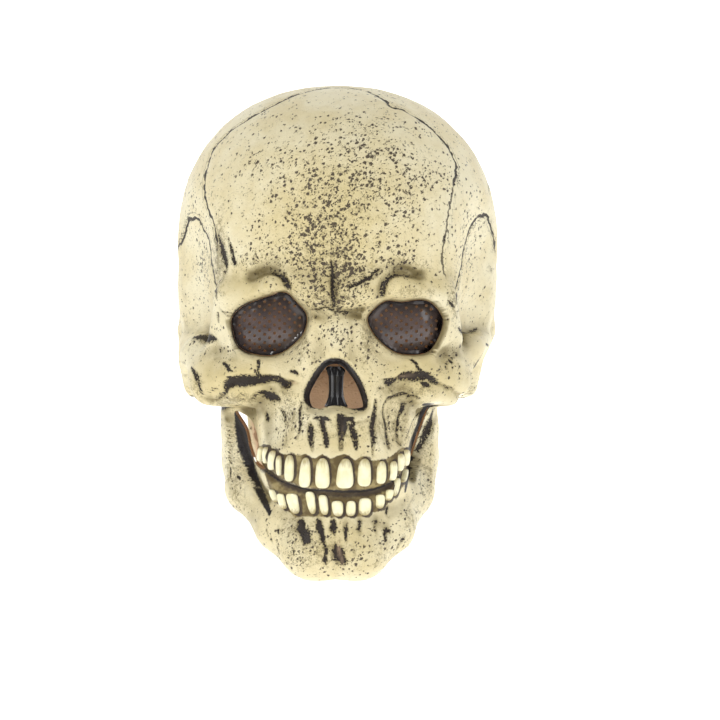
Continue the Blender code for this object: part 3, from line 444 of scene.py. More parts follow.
# name, ink, depth in millimetres, then x y half width in pixels along the stroke
strokes = (
    ("toothRoot1", 0.50, 0.5, ((302, 402, 1.0), (299.5, 415, 1.4), (300.5, 425, 1.4), (297, 438, 1.0))),
    ("toothRoot2", 0.80, 0.9, ((310, 422, 0.8), (310.5, 430, 2.4), (311, 440, 2.2), (312.5, 451, 0.9))),
    ("toothRoot3", 0.75, 0.8, ((322, 420, 2.4), (324, 430, 1.9), (326, 438, 2.2), (326.5, 446, 1.6))),
    ("underNose1", 0.50, 0.5, ((313, 418, 0.9), (322, 417.5, 2.4), (330, 420, 1.3))),
    ("toothRoot4", 0.95, 1.3, ((341.5, 417, 3.0), (343, 424, 4.2), (342, 431, 2.8), (341, 440, 1.6), (341, 449, 1.4))),
    ("underNose2", 0.95, 0.8, ((345, 418, 1.3), (352, 419, 1.9))),
    ("toothRoot5", 0.90, 1.0, ((368.5, 419.5, 0.7), (362, 421.5, 0.8), (355, 423.5, 1.1), (352, 427, 2.0),
                               (353.5, 433, 2.4), (355.5, 441, 2.1), (356.5, 449, 1.2))),
    ("toothRoot6", 0.65, 0.9, ((376, 400, 1.2), (375, 410, 1.7), (373.5, 420, 2.4), (372.5, 430, 2.7),
                               (374, 438, 2.6), (373, 448, 1.2), (373, 457, 0.8))),
    ("toothRoot7", 0.60, 0.8, ((389, 398, 1.5), (384, 405, 1.3), (383.5, 415, 1.5), (386, 428, 1.8),
                               (387.5, 440, 1.9), (389, 448, 1.2))),
    ("toothRoot8", 0.60, 0.7, ((403, 405, 2.6), (402, 410, 2.0), (398.5, 416, 1.2), (397.5, 426, 1.4),
                               (397, 434, 1.2), (399, 444, 0.8))),
    ("slitEdge", 0.45, 0.3, ((421, 411, 1.0), (413, 420, 0.8), (409, 432, 1.0), (405, 440, 0.6))),
    ("maxillaMark1", 0.75, 0.5, ((266, 412, 1.1), (267.5, 419, 1.8))),
    ("maxillaMark2", 0.50, 0.5, ((281, 410, 1.5), (284.5, 416, 2.1), (285, 425, 1.0), (286, 440, 0.9),
                                 (284, 445, 0.5))),
    ("chinRoot1", 1.00, 1.0, ((302, 518, 1.0), (301, 525, 4.1), (304, 533, 3.8), (307, 541, 2.9),
                              (311, 546, 2.1), (317, 547, 0.9))),
    ("chinRoot2", 0.95, 0.8, ((318.5, 519, 1.1), (319, 525, 2.9), (321.5, 533, 2.2), (323, 540, 1.5))),
    ("chinRoot3", 0.95, 0.9, ((333.5, 521, 1.7), (333, 528, 2.8), (334.5, 536, 1.1))),
    ("chinRoot4", 0.85, 0.7, ((346, 524, 1.7), (345.5, 531, 1.9), (346, 539, 1.0))),
    ("chinRoot5", 0.60, 0.6, ((360, 521, 1.8), (359, 528, 2.0), (359, 534, 0.8))),
    ("chinRoot6", 0.55, 0.5, ((375.5, 516, 1.0), (375.5, 524, 1.6), (374.5, 533, 0.9))),
    ("chinSmudge", 0.60, 0.4, ((313, 544, 1.1), (324, 544, 2.4), (326, 550, 1.6), (323, 555, 1.2), (325.5, 560, 1.6),
                               (320, 567, 1.3))),
    ("chinComma", 1.05, 1.7, ((345, 543, 1.4), (338.5, 549, 3.7), (338.5, 555, 4.4), (342.5, 562, 3.4))),
    ("chinHole", 0.85, 1.0, ((388, 526, 1.6), (387, 530, 2.8), (386.5, 535, 1.8))),
    ("chinMark1", 0.70, 0.3, ((383, 537, 1.1), (386, 540, 1.4))),
    ("chinMark2", 0.70, 0.4, ((405, 537, 1.4), (401, 543, 2.4), (397.5, 548, 1.0))),
    ("chinMark3", 0.70, 0.3, ((265.5, 528, 0.6), (268, 535, 1.2), (273, 542, 0.7), (279, 551, 0.8))),
    ("chinMark4", 0.70, 0.3, ((278, 527, 0.8), (278.5, 534, 1.4))),
    ("chinMark5", 0.60, 0.3, ((387.5, 507, 1.3), (385.5, 515, 0.9))),
    ("chinMark6", 0.60, 0.2, ((293.5, 551, 0.9), (296, 547, 0.8))),
    ("chinDot1", 0.90, 0.5, ((315.5, 556.5, 1.2), (317, 557, 1.2))),
    ("chinDot2", 0.85, 0.5, ((354, 553, 1.5), (354.5, 555, 1.4))),
    ("chinDot3", 0.85, 0.5, ((355, 558, 1.6), (357, 557, 1.3))),
    ("glabella", 0.62, 0.7, ((331, 262, 1.4), (333, 275, 2.0), (333, 290, 2.3), (334, 305, 1.7), (333, 312, 0.9))),
    ("nasion", 0.62, 0.5, ((308, 310, 0.6), (318, 309.5, 1.3), (326, 307.5, 1.3), (334, 311, 1.2), (345, 312.5, 1.3),
                           (356, 313, 0.6))),
    ("frown", 0.92, 0.7, ((349, 290, 0.8), (351, 286, 1.4), (357, 284.5, 1.2), (362, 281, 1.7), (366, 278.5, 2.0),
                          (370, 278, 1.4), (373, 273, 1.2), (378, 270, 1.3), (381, 268, 0.6))),
    ("browLeft", 0.78, 1.0, ((257, 275, 0.5), (266, 273.5, 1.0), (274, 273.5, 2.2), (282, 277, 2.2), (286, 281, 2.1),
                             (288, 288, 2.6))),
    ("browRight", 0.52, 0.9, ((382, 297, 2.2), (383, 288, 3.0), (386, 281, 3.0), (392, 276, 3.0), (400, 274, 2.8),
                              (408, 276, 2.0), (419, 275.5, 0.7))),
    ("eyeCorner", 0.85, 0.6, ((217, 305.5, 0.5), (220, 309.5, 0.8), (223.5, 312.5, 0.9), (230, 312, 0.9))),
    ("templeGrey", 0.42, 0.8, ((216, 229, 0.8), (219, 240, 3.0), (223, 252, 4.2), (225.5, 262, 3.6), (226, 270, 1.6),
                               (222, 278, 0.8))),
    ("templeMark", 0.50, 0.4, ((226, 232, 0.6), (228.5, 240, 0.9), (231, 247, 1.7), (233, 256, 2.0), (235, 264, 2.2))),
    ("sideMark1", 0.85, 0.3, ((217.5, 313, 1.0), (219, 322, 0.9))),
    ("sideMark2", 0.70, 0.3, ((216.5, 284, 0.8), (216.5, 292, 0.8))),
    ("sideMark3", 0.65, 0.3, ((448, 301, 1.0), (451, 304, 1.4), (454, 307, 1.0))),
    ("jawStreak1", 0.80, 0.3, ((227, 425, 0.5), (228.5, 440, 0.7), (228, 460, 0.6))),
    ("jawStreak2", 0.80, 0.4, ((230, 438, 0.5), (230.5, 460, 0.9), (231, 479, 0.8))),
    ("jawStreak3", 0.50, 0.2, ((223.5, 444, 0.4), (222.5, 460, 0.5))),
    ("jawMark", 0.85, 0.3, ((237.5, 476, 1.0), (240, 479, 1.1))),
    ("jawStreak4", 0.50, 0.3, ((421, 470, 0.5), (421, 486, 0.8), (424, 498, 0.6))),
    ("jawStreak5", 0.40, 0.2, ((414, 495, 0.5), (402, 520, 0.5))),
    ("eyeCrackLeft", 0.95, 0.6, ((258.5, 360, 1.4), (258.5, 366, 1.2), (257.5, 372, 1.1), (257, 377, 1.2))),
    ("cheekMark1", 0.85, 0.4, ((223, 362.5, 1.2), (227, 366, 1.3), (228.5, 369, 1.6), (232, 371, 0.6))),
    ("cheekMark2", 0.85, 0.3, ((208, 393.5, 0.5), (213, 390, 0.9), (217, 387.8, 0.9))),
    ("cheekBandLeft", 0.92, 1.2, ((211.5, 401, 0.8), (217, 400, 1.0), (220, 396.5, 1.6), (225, 392, 1.8),
                                  (226, 388, 2.8), (229, 384, 3.4), (236, 381, 3.6), (243, 381, 4.2),
                                  (250, 380.5, 3.6), (257, 380, 3.2), (265, 379, 3.0), (272, 378.5, 2.6),
                                  (280, 380, 2.6), (284, 383, 3.0), (288, 385, 2.4), (291, 383, 1.6),
                                  (297, 382.5, 0.6))),
    ("cheekLine", 0.85, 0.2, ((225, 378, 0.5), (232, 376.5, 0.6), (240, 375.8, 0.5))),
    ("underCheekLeft", 0.85, 0.8, ((251.5, 400.5, 1.2), (255, 396.5, 1.0), (259, 393, 1.2), (264, 392.5, 2.0),
                                   (268, 395, 3.2), (272, 396.5, 3.6), (276, 397.5, 3.0), (279, 399, 1.5))),
    ("cheekMark3", 0.70, 0.3, ((241.5, 393, 0.9), (242.5, 396, 0.9))),
    ("besideNose", 0.70, 0.4, ((290, 371, 1.2), (295, 372, 1.6), (298, 375, 1.0))),
    ("cheekSide", 0.60, 0.4, ((191, 367, 1.0), (196, 376, 2.5), (198, 382, 2.0), (201, 392, 1.6), (205, 398, 0.8))),
    ("cheekShade", 0.50, 0.3, ((213, 409, 1.0), (222, 408, 2.0), (232, 406.5, 2.0), (243, 406, 1.5))),
    ("pocketLeft", 0.58, 0.3, ((194, 337, 2.0), (200, 337, 4.4), (207, 338, 4.4), (216, 339, 1.5))),
    ("pocketCrack", 0.70, 0.2, ((195, 341, 0.6), (190, 347, 0.6), (187, 353, 0.5))),
    ("eyeCrackRight", 0.85, 0.5, ((410, 359, 1.0), (414, 361, 1.2), (417, 365, 1.2), (418.5, 369.5, 1.4),
                                  (422, 371, 1.0), (423, 373, 1.0))),
    ("cheekBandRight", 0.92, 1.2, ((400, 378, 2.4), (405, 376.5, 3.2), (412, 376, 3.4), (420, 376, 3.2),
                                   (427, 376, 3.0), (430, 378, 2.4), (434, 381, 2.2), (438, 383.5, 1.3),
                                   (443, 385, 1.0), (447, 388, 1.4), (451, 388.5, 1.4), (454, 392, 1.2),
                                   (459, 395, 1.1), (466, 398.5, 0.6))),
    ("cheekBandTail", 0.85, 0.4, ((381, 380, 0.6), (388, 379, 0.8), (394, 379, 1.0), (399, 378, 1.2))),
    ("cheekOlive", 0.45, 0.3, ((385, 382, 2.0), (390, 383, 3.0), (394, 381, 2.0))),
    ("cheekMark4", 0.80, 0.4, ((422, 383, 1.2), (426, 384.5, 2.2), (429, 385.5, 1.4))),
    ("cheekFork1", 0.80, 0.2, ((455, 394, 0.5), (458, 400, 0.5))),
    ("cheekFork2", 0.80, 0.2, ((461, 401, 0.5), (466, 400, 0.6))),
    ("cheekDash1", 0.60, 0.2, ((437, 371.5, 0.9), (441, 368, 0.7))),
    ("cheekDash2", 0.60, 0.2, ((446, 364, 1.2), (450, 359, 1.0), (455, 355, 0.6))),
    ("cheekDot1", 0.80, 0.3, ((446, 367, 1.3), (446.5, 368, 1.2))),
    ("cheekDot2", 0.80, 0.3, ((452, 362, 1.1), (452.5, 363, 1.0))),
    ("cheekDot3", 0.80, 0.3, ((452.5, 367, 1.1), (453, 368, 1.0))),
    ("cheekDot4", 0.80, 0.3, ((458, 363, 0.8), (458, 364, 0.8))),
    ("underCheekRight", 0.80, 0.6, ((390, 398, 1.4), (395, 396, 1.4), (400, 394.5, 1.5), (404, 393.5, 1.4),
                                    (409, 396.5, 1.4), (414, 396, 1.2), (419, 399, 1.3))),
    ("underCheekSpur", 0.80, 0.3, ((413, 401, 1.0), (409, 403, 0.8))),
    ("mastoidEdge", 0.50, 0.3, ((484, 352, 0.6), (479, 360, 1.2), (474.5, 367, 1.6), (475, 378, 2.2),
                                (476.5, 388, 1.6), (478, 397, 1.0))),
    ("mastoidMark", 0.80, 0.2, ((486, 344, 1.0), (489, 346, 0.8))),
    ("pocketRight", 0.50, 0.3, ((459, 328, 1.5), (463, 332, 2.6), (470, 332, 2.6), (478, 328, 1.2))),
    ("valleyOlive", 0.42, 0.3, ((433, 411, 2.5), (429, 424, 4.0), (424, 437, 3.6), (418, 450, 2.6))),
)

# cracks and sutures: name, half width in millimetres, ink, pixels along the line
cracks = (
    ("coronal", 0.98, 0.95, ((218, 250), (214, 226), (208, 208), (204.5, 195), (204.5, 180), (209, 160), (215, 147),
                             (232, 130), (247, 120), (264, 110), (288, 98), (306, 92), (329, 87.5), (358, 89),
                             (372, 93), (384, 100), (392, 107), (404, 110), (420, 120), (435, 132), (449, 149),
                             (456, 165), (455, 178), (452, 195), (449.5, 210))),
    ("coronalFoot", 0.60, 0.80, ((454, 186), (449.5, 210), (446, 230), (443, 248), (442.5, 262), (446, 280))),
    ("squamosalLeft", 1.10, 0.95, ((178, 275), (177.5, 250), (183, 240), (187, 225), (190, 219), (198, 219),
                                   (203, 229), (209, 240), (211, 258), (214, 275), (217, 302))),
    ("squamosalRight", 1.10, 0.95, ((495, 254), (494, 239), (490, 224), (486, 215), (477, 218), (471, 226),
                                    (467, 238), (463, 252), (461, 269), (457.5, 284), (456.5, 304))),
)


# sutures that the photograph doesn't show: turn from the front and tilt in degrees
hiddenCracks = (
    ("sagittal", 0.8, 0.80, ((180, 84), (176, 72), (183, 62), (178, 52), (180, 42))),
    ("lambdoidRight", 0.8, 0.80, ((180, 42), (166, 36), (152, 24), (140, 14), (128, 2), (121, -8))),
    ("lambdoidLeft", 0.8, 0.80, ((180, 42), (195, 35), (207, 25), (221, 13), (231, 3), (239, -8))),
    ("squamosalSideRight", 0.8, 0.75, ((70, 16), (82, 22), (96, 20), (108, 11), (118, 0), (121, -8))),
    ("squamosalSideLeft", 0.8, 0.75, ((290, 15), (277, 22), (265, 21), (251, 10), (243, 1), (239, -8))),
)
strokeWidening = 1.3


# the runs of a few lines laid on the skin, all in one go
def laidOnSkin(lines, steps):
    runs = [smoothRun(line, False, steps) for line in lines]
    skin = skinAt(np.concatenate([run[:, :2] for run in runs]))
    ends = np.cumsum([len(run) for run in runs])[:-1]
    return runs, np.split(skin, ends)


def strokeRuns():
    scale = camera["lens"] / camera["sensor"] * camera["frameSide"] / 1800.0
    runs, skins = laidOnSkin([line for _, _, _, line in strokes], 5)
    return [(name, ink, depth, skin, run[:, 2] / scale * strokeWidening)
            for (name, ink, depth, _), run, skin in zip(strokes, runs, skins)]


def crackRuns():
    _, skins = laidOnSkin([line for _, _, _, line in cracks], 6)
    made = [(name, halfWidth, ink, skin) for (name, halfWidth, ink, _), skin in zip(cracks, skins)]
    for name, halfWidth, ink, line in hiddenCracks:
        turn, tilt = np.radians(smoothRun(line, False, 6)).T
        directions = np.stack([np.sin(turn) * np.cos(tilt), -np.cos(turn) * np.cos(tilt), np.sin(tilt)], axis=1)
        starts = np.tile((0.0, 14.0, 45.0), (len(turn), 1))
        made.append((name, halfWidth, ink, traceOut(starts, directions, 0.0, outerRelief)))
    return made


strokeLines = strokeRuns()
crackLines = crackRuns()
print("strokes and cracks laid on the skin:", len(strokeLines), len(crackLines))


# nearest place on a line in space: gap, share along it and which segment
def nearestOnLine(points, line):
    best = np.full(len(points), 1e9)
    where = np.zeros(len(points))
    for index in range(len(line) - 1):
        start = line[index]
        along = line[index + 1] - start
        share = np.clip((points - start) @ along / max(along @ along, 1e-9), 0.0, 1.0)
        gap = np.linalg.norm(points - start - share[:, None] * along, axis=1)
        closer = gap < best
        best = np.where(closer, gap, best)
        where = np.where(closer, index + share, where)
    return best, where


def nearLine(points, line, reach):
    low, high = line.min(axis=0) - reach, line.max(axis=0) + reach
    return np.nonzero(((points > low) & (points < high)).all(axis=1))[0]


# level of the nearest stroke at each point (1 in its middle, 0 at its edge), its ink and depth
def strokesAt(points):
    level = np.full(len(points), -1.0)
    ink = np.zeros(len(points))
    sink = np.zeros(len(points))
    for _, strength, depth, line, halfWidths in strokeLines:
        near = nearLine(points, line, 8.0)
        if len(near) == 0:
            continue
        gap, where = nearestOnLine(points[near], line)
        half = np.interp(where, np.arange(len(line)), halfWidths)
        here = 1.0 - gap / np.maximum(half, 0.3)
        deeper = here > level[near]
        level[near[deeper]] = np.maximum(here[deeper], -1.0)
        ink[near[deeper]] = strength
        sink[near] = np.maximum(sink[near], depth * np.exp(-(gap / np.maximum(half, 0.9)) ** 2))
    return level, ink, sink


# signed gap to the nearest crack, its half width and how strongly it shows
def cracksAt(points, normals):
    signed = np.full(len(points), 3.0)
    half = np.zeros(len(points))
    shown = np.zeros(len(points))
    for _, halfWidth, ink, line in crackLines:
        near = nearLine(points, line, 4.0)
        if len(near) == 0:
            continue
        gap, where = nearestOnLine(points[near], line)
        index = np.clip(where.astype(int), 0, len(line) - 2)
        along = line[index + 1] - line[index]
        foot = line[index] + (where - index)[:, None] * along
        side = np.cross(along, normals[near])
        sign = np.where(((points[near] - foot) * side).sum(axis=1) >= 0, 1.0, -1.0)
        closer = gap < np.abs(signed[near])
        ends = smoothStep(np.minimum(where, len(line) - 1 - where) / 3.0)
        signed[near[closer]] = (gap * sign)[closer]
        half[near[closer]] = (halfWidth * (0.35 + 0.65 * ends))[closer]
        shown[near[closer]] = (ink * smoothStep((3.6 - gap) / 1.4) * ends)[closer]
    return signed, half, shown


# the shell

def onlyThis(item):
    bpy.ops.object.select_all(action="DESELECT")
    item.select_set(True)
    bpy.context.view_layer.objects.active = item


def applyModifiers(item):
    onlyThis(item)
    for modifier in list(item.modifiers):
        bpy.ops.object.modifier_apply(modifier=modifier.name)


def coordinates(mesh):
    places = np.empty(len(mesh.vertices) * 3)
    mesh.vertices.foreach_get("co", places)
    return places.reshape(-1, 3)


def setCoordinates(mesh, places):
    mesh.vertices.foreach_set("co", np.asarray(places, dtype=np.float32).ravel())
    mesh.update()


def vertexNormals(mesh):
    normals = np.empty(len(mesh.vertices) * 3)
    mesh.vertices.foreach_get("normal", normals)
    return normals.reshape(-1, 3)


# a ball whose points are pulled out along their rays to one level of the form
def ballSkin(name, cells, level, depth):
    around, dome, face, under = cells
    rings = dome + face + under
    bpy.ops.object.select_all(action="DESELECT")
    bpy.ops.mesh.primitive_uv_sphere_add(segments=around, ring_count=rings, radius=1.0)
    ball = bpy.context.object
    ball.name = name
    corners = coordinates(ball.data)
    rows = np.round(np.arccos(np.clip(corners[:, 2], -1, 1)) / math.pi * rings)
    turns = np.arctan2(corners[:, 0], -corners[:, 1])
    heights = np.zeros(len(rows))
    tilts = np.zeros(len(rows))
    foot, top = skull["spine"][0][0], skull["spine"][-1][0]
    onDome = rows <= dome
    tilts[onDome] = (1 - rows[onDome] / dome) * math.pi / 2
    heights[onDome] = top
    onFace = (rows > dome) & (rows <= dome + face)
    heights[onFace] = top + (rows[onFace] - dome) / face * (foot - top)
    below = rows > dome + face
    tilts[below] = -(rows[below] - dome - face) / under * math.pi / 2
    heights[below] = foot
    turned = turns - skull["crowding"] * np.sin(turns)
    spine = np.interp(heights, [z for z, _ in skull["spine"]], [y for _, y in skull["spine"]])
    starts = np.stack([np.zeros(len(rows)), spine, heights], axis=1)
    flat = np.cos(tilts)
    directions = np.stack([np.sin(turned) * flat, -np.cos(turned) * flat, np.sin(tilts)], axis=1)
    setCoordinates(ball.data, toRow(traceOut(starts, directions, level, depth)))
    return ball


# a flat outline thrown straight through the shell, to cut with
def outlineCutter(name, run, axis, low, high):
    count = len(run)
    verts = []
    for depth in (low, high):
        for first, second in run:
            place = {"x": (depth, first, second), "y": (first, depth, second), "z": (first, second, depth)}[axis]
            verts.append(toRow(place))
    faces = [tuple(range(count)), tuple(range(2 * count - 1, count - 1, -1))]
    faces += [(i, i + count, (i + 1) % count + count, (i + 1) % count) for i in range(count)]
    mesh = bpy.data.meshes.new(name)
    mesh.from_pydata(verts, [], faces)
    cutter = bpy.data.objects.new(name, mesh)
    bpy.context.scene.collection.objects.link(cutter)
    onlyThis(cutter)
    bpy.ops.object.mode_set(mode="EDIT")
    bpy.ops.mesh.select_all(action="SELECT")
    bpy.ops.mesh.normals_make_consistent(inside=False)
    bpy.ops.object.mode_set(mode="OBJECT")
    return cutter


def oval(centre, half):
    turns = np.linspace(0, 2 * math.pi, 64, endpoint=False)
    return [(centre[0] + half[0] * math.cos(turn), centre[1] + half[1] * math.sin(turn)) for turn in turns]


def shellCutters():
    rim = [(y, z) for y, z in skull["rim"]] + [(150, -190), (-70, -190)]
    made = [outlineCutter("rimCutter", rim, "x", -130, 130)]
    made.append(outlineCutter("neckCutter", oval(skull["neckCentre"], skull["neckHalf"]), "z", -190, -62))
    made.append(outlineCutter("passageCutter", oval(skull["passageCentre"], skull["passageHalf"]), "z", -190, -30))
    for name, inset in (("eyeLeft", skull["eyeInset"]), ("eyeRight", skull["eyeInset"]),
                        ("nose", skull["noseInset"]), ("cheekGap", 0.0), ("cheekSlit", 0.0)):
        run = insetRun(smoothRun(outlines[name], True, 6), inset)
        made.append(outlineCutter(name + "Cutter", run, "y", -150, -10))
    return made


# gentle hand-worked unevenness, in millimetres
def unevenness(points):
    return np.array([0.38 * noise.noise(Vector(p) / 13.0) + 0.16 * noise.noise(Vector(p) / 4.5) for p in points])


def makeShell():
    outer = ballSkin("skullShell", skull["outerCells"], 0.0, outerRelief)
    places = toFace(coordinates(outer.data))
    normals = vertexNormals(outer.data)
    _, _, sink = strokesAt(places)
    signed, half, shown = cracksAt(places, normals)
    sink += 0.5 * shown * np.exp(-(signed / 1.1) ** 2)
    places = places - normals * (sink + unevenness(places))[:, None]
    setCoordinates(outer.data, toRow(places))
    print("outer skin:", len(outer.data.polygons), "faces")
    inner = ballSkin("innerSkin", skull["innerCells"], -skull["wall"], innerRelief)
    onlyThis(inner)
    bpy.ops.object.mode_set(mode="EDIT")
    bpy.ops.mesh.select_all(action="SELECT")
    bpy.ops.mesh.flip_normals()
    bpy.ops.object.mode_set(mode="OBJECT")
    outer.select_set(True)
    bpy.context.view_layer.objects.active = outer
    bpy.ops.object.join()
    cutters = shellCutters()
    for cutter in cutters:
        boolean = outer.modifiers.new(cutter.name, "BOOLEAN")
        boolean.operation = "DIFFERENCE"
        boolean.solver = "MANIFOLD"
        boolean.object = cutter
    applyModifiers(outer)
    for cutter in cutters:
        bpy.data.objects.remove(cutter, do_unlink=True)
    onlyThis(outer)
    bpy.ops.object.shade_smooth_by_angle(angle=math.radians(50))
    return outer


# where each finish and each painted shade lies on the shell, as numbers kept at its points
def paintShell(shell):
    mesh = shell.data
    places = toFace(coordinates(mesh))
    normals = vertexNormals(mesh)
    pixels = seenPixels(places)
    seen = np.stack([places[:, 0], places[:, 2]], axis=1)
    inside = smoothStep((-skullDistance(places, outerRelief) - 1.2) / 0.9)
    front = smoothStep((grid["frontFrom"] - places[:, 1]) / 15.0)
    level, ink, _ = strokesAt(places)
    signed, half, shown = cracksAt(places, normals)
    eyes = np.maximum(signedGap(seen, smoothRun(outlines["eyeLeft"], True, 4)),
                      signedGap(seen, smoothRun(outlines["eyeRight"], True, 4)))
    nose = signedGap(seen, smoothRun(outlines["nose"], True, 4))
    eyes = np.where(places[:, 1] < -25, eyes, -60.0)
    nose = np.where(places[:, 1] < -25, nose, -60.0)
    keep(mesh, "strokeLevel", level)
    keep(mesh, "strokeInk", ink)
    keep(mesh, "crackGap", signed)
    keep(mesh, "crackHalf", half)
    keep(mesh, "crackInk", shown)
    keep(mesh, "eyeGap", np.maximum(eyes, -20))
    keep(mesh, "noseGap", np.maximum(nose, -20) - spotsAt(pixels, lipSpots))
    rimTone = np.clip(1.0 - spotsAt(pixels, rimShade), 0, 1)
    keep(mesh, "rimTone", rimTone * front * (eyes > -3))
    keep(mesh, "toothShade", toothShadeAt(pixels, front))
    keep(mesh, "inside", inside)
    keep(mesh, "recess", recessAt(places, normals) * (1 - inside))
    keep(mesh, "pitting", pittingAt(pixels) * front + 0.16 * (1 - front))
    keep(mesh, "tan", tanAt(pixels) * front)
    keep(mesh, "brownWashAndShade", brownWashAndShadeAt(pixels) * front + 0.12 * (1 - front))
    keep(mesh, "gum", gumAt(pixels, front))
    keep(mesh, "black", blackAt(pixels, front))
    keep(mesh, "lipShade", lipShadeAt(pixels, front))


def keep(mesh, name, values):
    attribute = mesh.attributes.new(name, "FLOAT", "POINT")
    attribute.data.foreach_set("value", np.asarray(values, dtype=np.float32))


# how much the form round each point shuts out the light, from 0 in the open
def recessAt(places, normals):
    total = np.zeros(len(places))
    for reach, weight in ((2.5, 0.35), (6.0, 0.35), (13.0, 0.30)):
        gap = skullDistance(places + normals * reach, outerRelief)
        total += weight * np.clip(1.0 - gap / reach, 0.0, 1.0)
    return total


# spots that add up to a map, as x y half sizes in pixels and strength
def spotsAt(pixels, spots):
    total = np.zeros(len(pixels))
    for x, y, width, height, strength in spots:
        reach = ((pixels[:, 0] - x) / width) ** 2 + ((pixels[:, 1] - y) / height) ** 2
        total += strength * np.exp(-reach)
    return total


pittedSpots = (
    (332, 255, 56, 38, 0.92), (345, 165, 78, 34, 0.50), (330, 205, 70, 30, 0.52), (334, 296, 28, 24, 0.85),
    (400, 150, 52, 46, 0.26), (420, 195, 28, 28, 0.40), (410, 258, 34, 20, 0.36), (250, 255, 42, 18, 0.40),
    (285, 420, 22, 28, 0.50), (340, 335, 14, 18, 0.45), (400, 430, 18, 30, 0.40), (350, 557, 26, 16, 0.60),
    (305, 557, 22, 16, 0.50), (262, 160, 26, 20, 0.28), (475, 250, 18, 50, 0.62), (195, 260, 18, 60, 0.62),
    (400, 540, 28, 24, 0.34), (290, 540, 28, 24, 0.34), (340, 130, 66, 16, 0.20), (372, 355, 12, 26, 0.50),
    (445, 372, 20, 12, 0.34), (215, 372, 16, 12, 0.30), (240, 450, 10, 50, 0.24), (425, 470, 12, 50, 0.24),
    (300, 340, 12, 20, 0.36), (336, 345, 34, 24, 0.40), (230, 350, 8, 30, 0.30), (455, 350, 8, 26, 0.30),
)
tanSpots = (
    (330, 215, 95, 75, 0.90), (335, 290, 60, 38, 0.55), (245, 285, 36, 20, 0.65), (425, 282, 36, 16, 0.65),
    (335, 380, 30, 44, 0.45), (340, 545, 62, 40, 0.85), (340, 440, 56, 26, 0.70), (240, 382, 56, 30, 1.10),
    (425, 378, 52, 30, 1.05), (335, 120, 80, 20, 0.15),
)

# where brown paint has stayed, and painted shade: under the brows and the cheekbones, beside the nose and behind the
# eye sockets
brownWashAndShadeSpots = (
    (219, 255, 7, 42, 0.75), (184, 275, 8, 60, 0.35), (203, 340, 14, 8, 0.55), (222, 403, 22, 7, 0.45),
    (454, 302, 6, 28, 0.60), (446, 352, 8, 9, 0.45), (302, 340, 9, 26, 0.60), (367, 342, 9, 26, 0.65),
    (331, 300, 26, 12, 0.55), (332, 262, 30, 30, 0.45), (290, 412, 22, 22, 0.45), (396, 420, 22, 28, 0.50),
    (340, 432, 46, 14, 0.40), (238, 492, 10, 44, 0.50), (228, 448, 6, 34, 0.45), (428, 462, 8, 52, 0.50),
    (410, 520, 12, 22, 0.45), (290, 528, 16, 18, 0.50), (330, 548, 24, 16, 0.55), (300, 560, 20, 10, 0.40),
    (384, 556, 22, 12, 0.40), (260, 262, 30, 12, 0.40), (412, 268, 30, 12, 0.42), (250, 398, 34, 6, 0.50),
    (412, 390, 34, 7, 0.50), (490, 290, 7, 60, 0.35), (196, 385, 6, 18, 0.50), (476, 378, 8, 18, 0.55),
    (280, 296, 20, 6, 0.60), (410, 293, 32, 6, 0.55), (340, 200, 80, 50, 0.25),
)


def brownWashAndShadeAt(pixels):
    return np.clip(spotsAt(pixels, brownWashAndShadeSpots), 0, 1)


def pittingAt(pixels):
    return np.clip(spotsAt(pixels, pittedSpots) + 0.14, 0, 1)


def tanAt(pixels):
    return np.clip(spotsAt(pixels, tanSpots), 0, 1)


upperGumTop = ((255, 444), (262, 446), (270, 446.5), (275, 449), (279, 452.5), (285, 454), (292, 453.5), (300, 455),
               (306, 453), (311, 457), (315, 458), (322, 453.5), (331, 458.5), (338, 455), (344, 453.5), (350, 455.5),
               (355, 460), (361, 456), (366, 456), (371, 460), (379, 459.5), (386, 459), (392, 455), (398, 450),
               (402, 447), (408, 447))
mouthLine = ((262, 466), (272, 471), (281, 478.5), (292, 483.5), (305, 488), (317, 489.5), (330, 491), (345, 491.5),
             (365, 490.5), (379, 488), (390, 482.5), (400, 474), (408, 462))
lowerGumFoot = ((268, 486), (272, 497), (277, 504), (283, 509.5), (290, 513), (296, 519.5), (302, 518), (308, 516),
                (314, 518), (321, 516.5), (327, 519), (334, 517.5), (339, 520), (345, 518), (351, 519.5), (357, 516.5),
                (365, 518.5), (371, 513), (379, 512), (386, 506), (392, 500), (398, 495), (404, 486), (408, 476))


# the shade in the valley between the rows of teeth
def lipShadeAt(pixels, front):
    line = np.array(mouthLine, dtype=float)
    below = pixels[:, 1] - np.interp(pixels[:, 0], line[:, 0], line[:, 1])
    ends = smoothStep((pixels[:, 0] - 256) / 8) * smoothStep((410 - pixels[:, 0]) / 8)
    return np.exp(-((below - 2.5) / 4.5) ** 2) * ends * front


def insideLevel(pixels, outline):
    return signedGap(pixels, np.array(outline, dtype=float))


def gumAt(pixels, front):
    upper = insideLevel(pixels, upperGumTop + tuple(reversed(mouthLine)))
    lower = insideLevel(pixels, mouthLine + tuple(reversed(lowerGumFoot)))
    return np.where(front > 0.3, np.clip(np.maximum(upper, lower) / 3.0, -1, 1), -1)


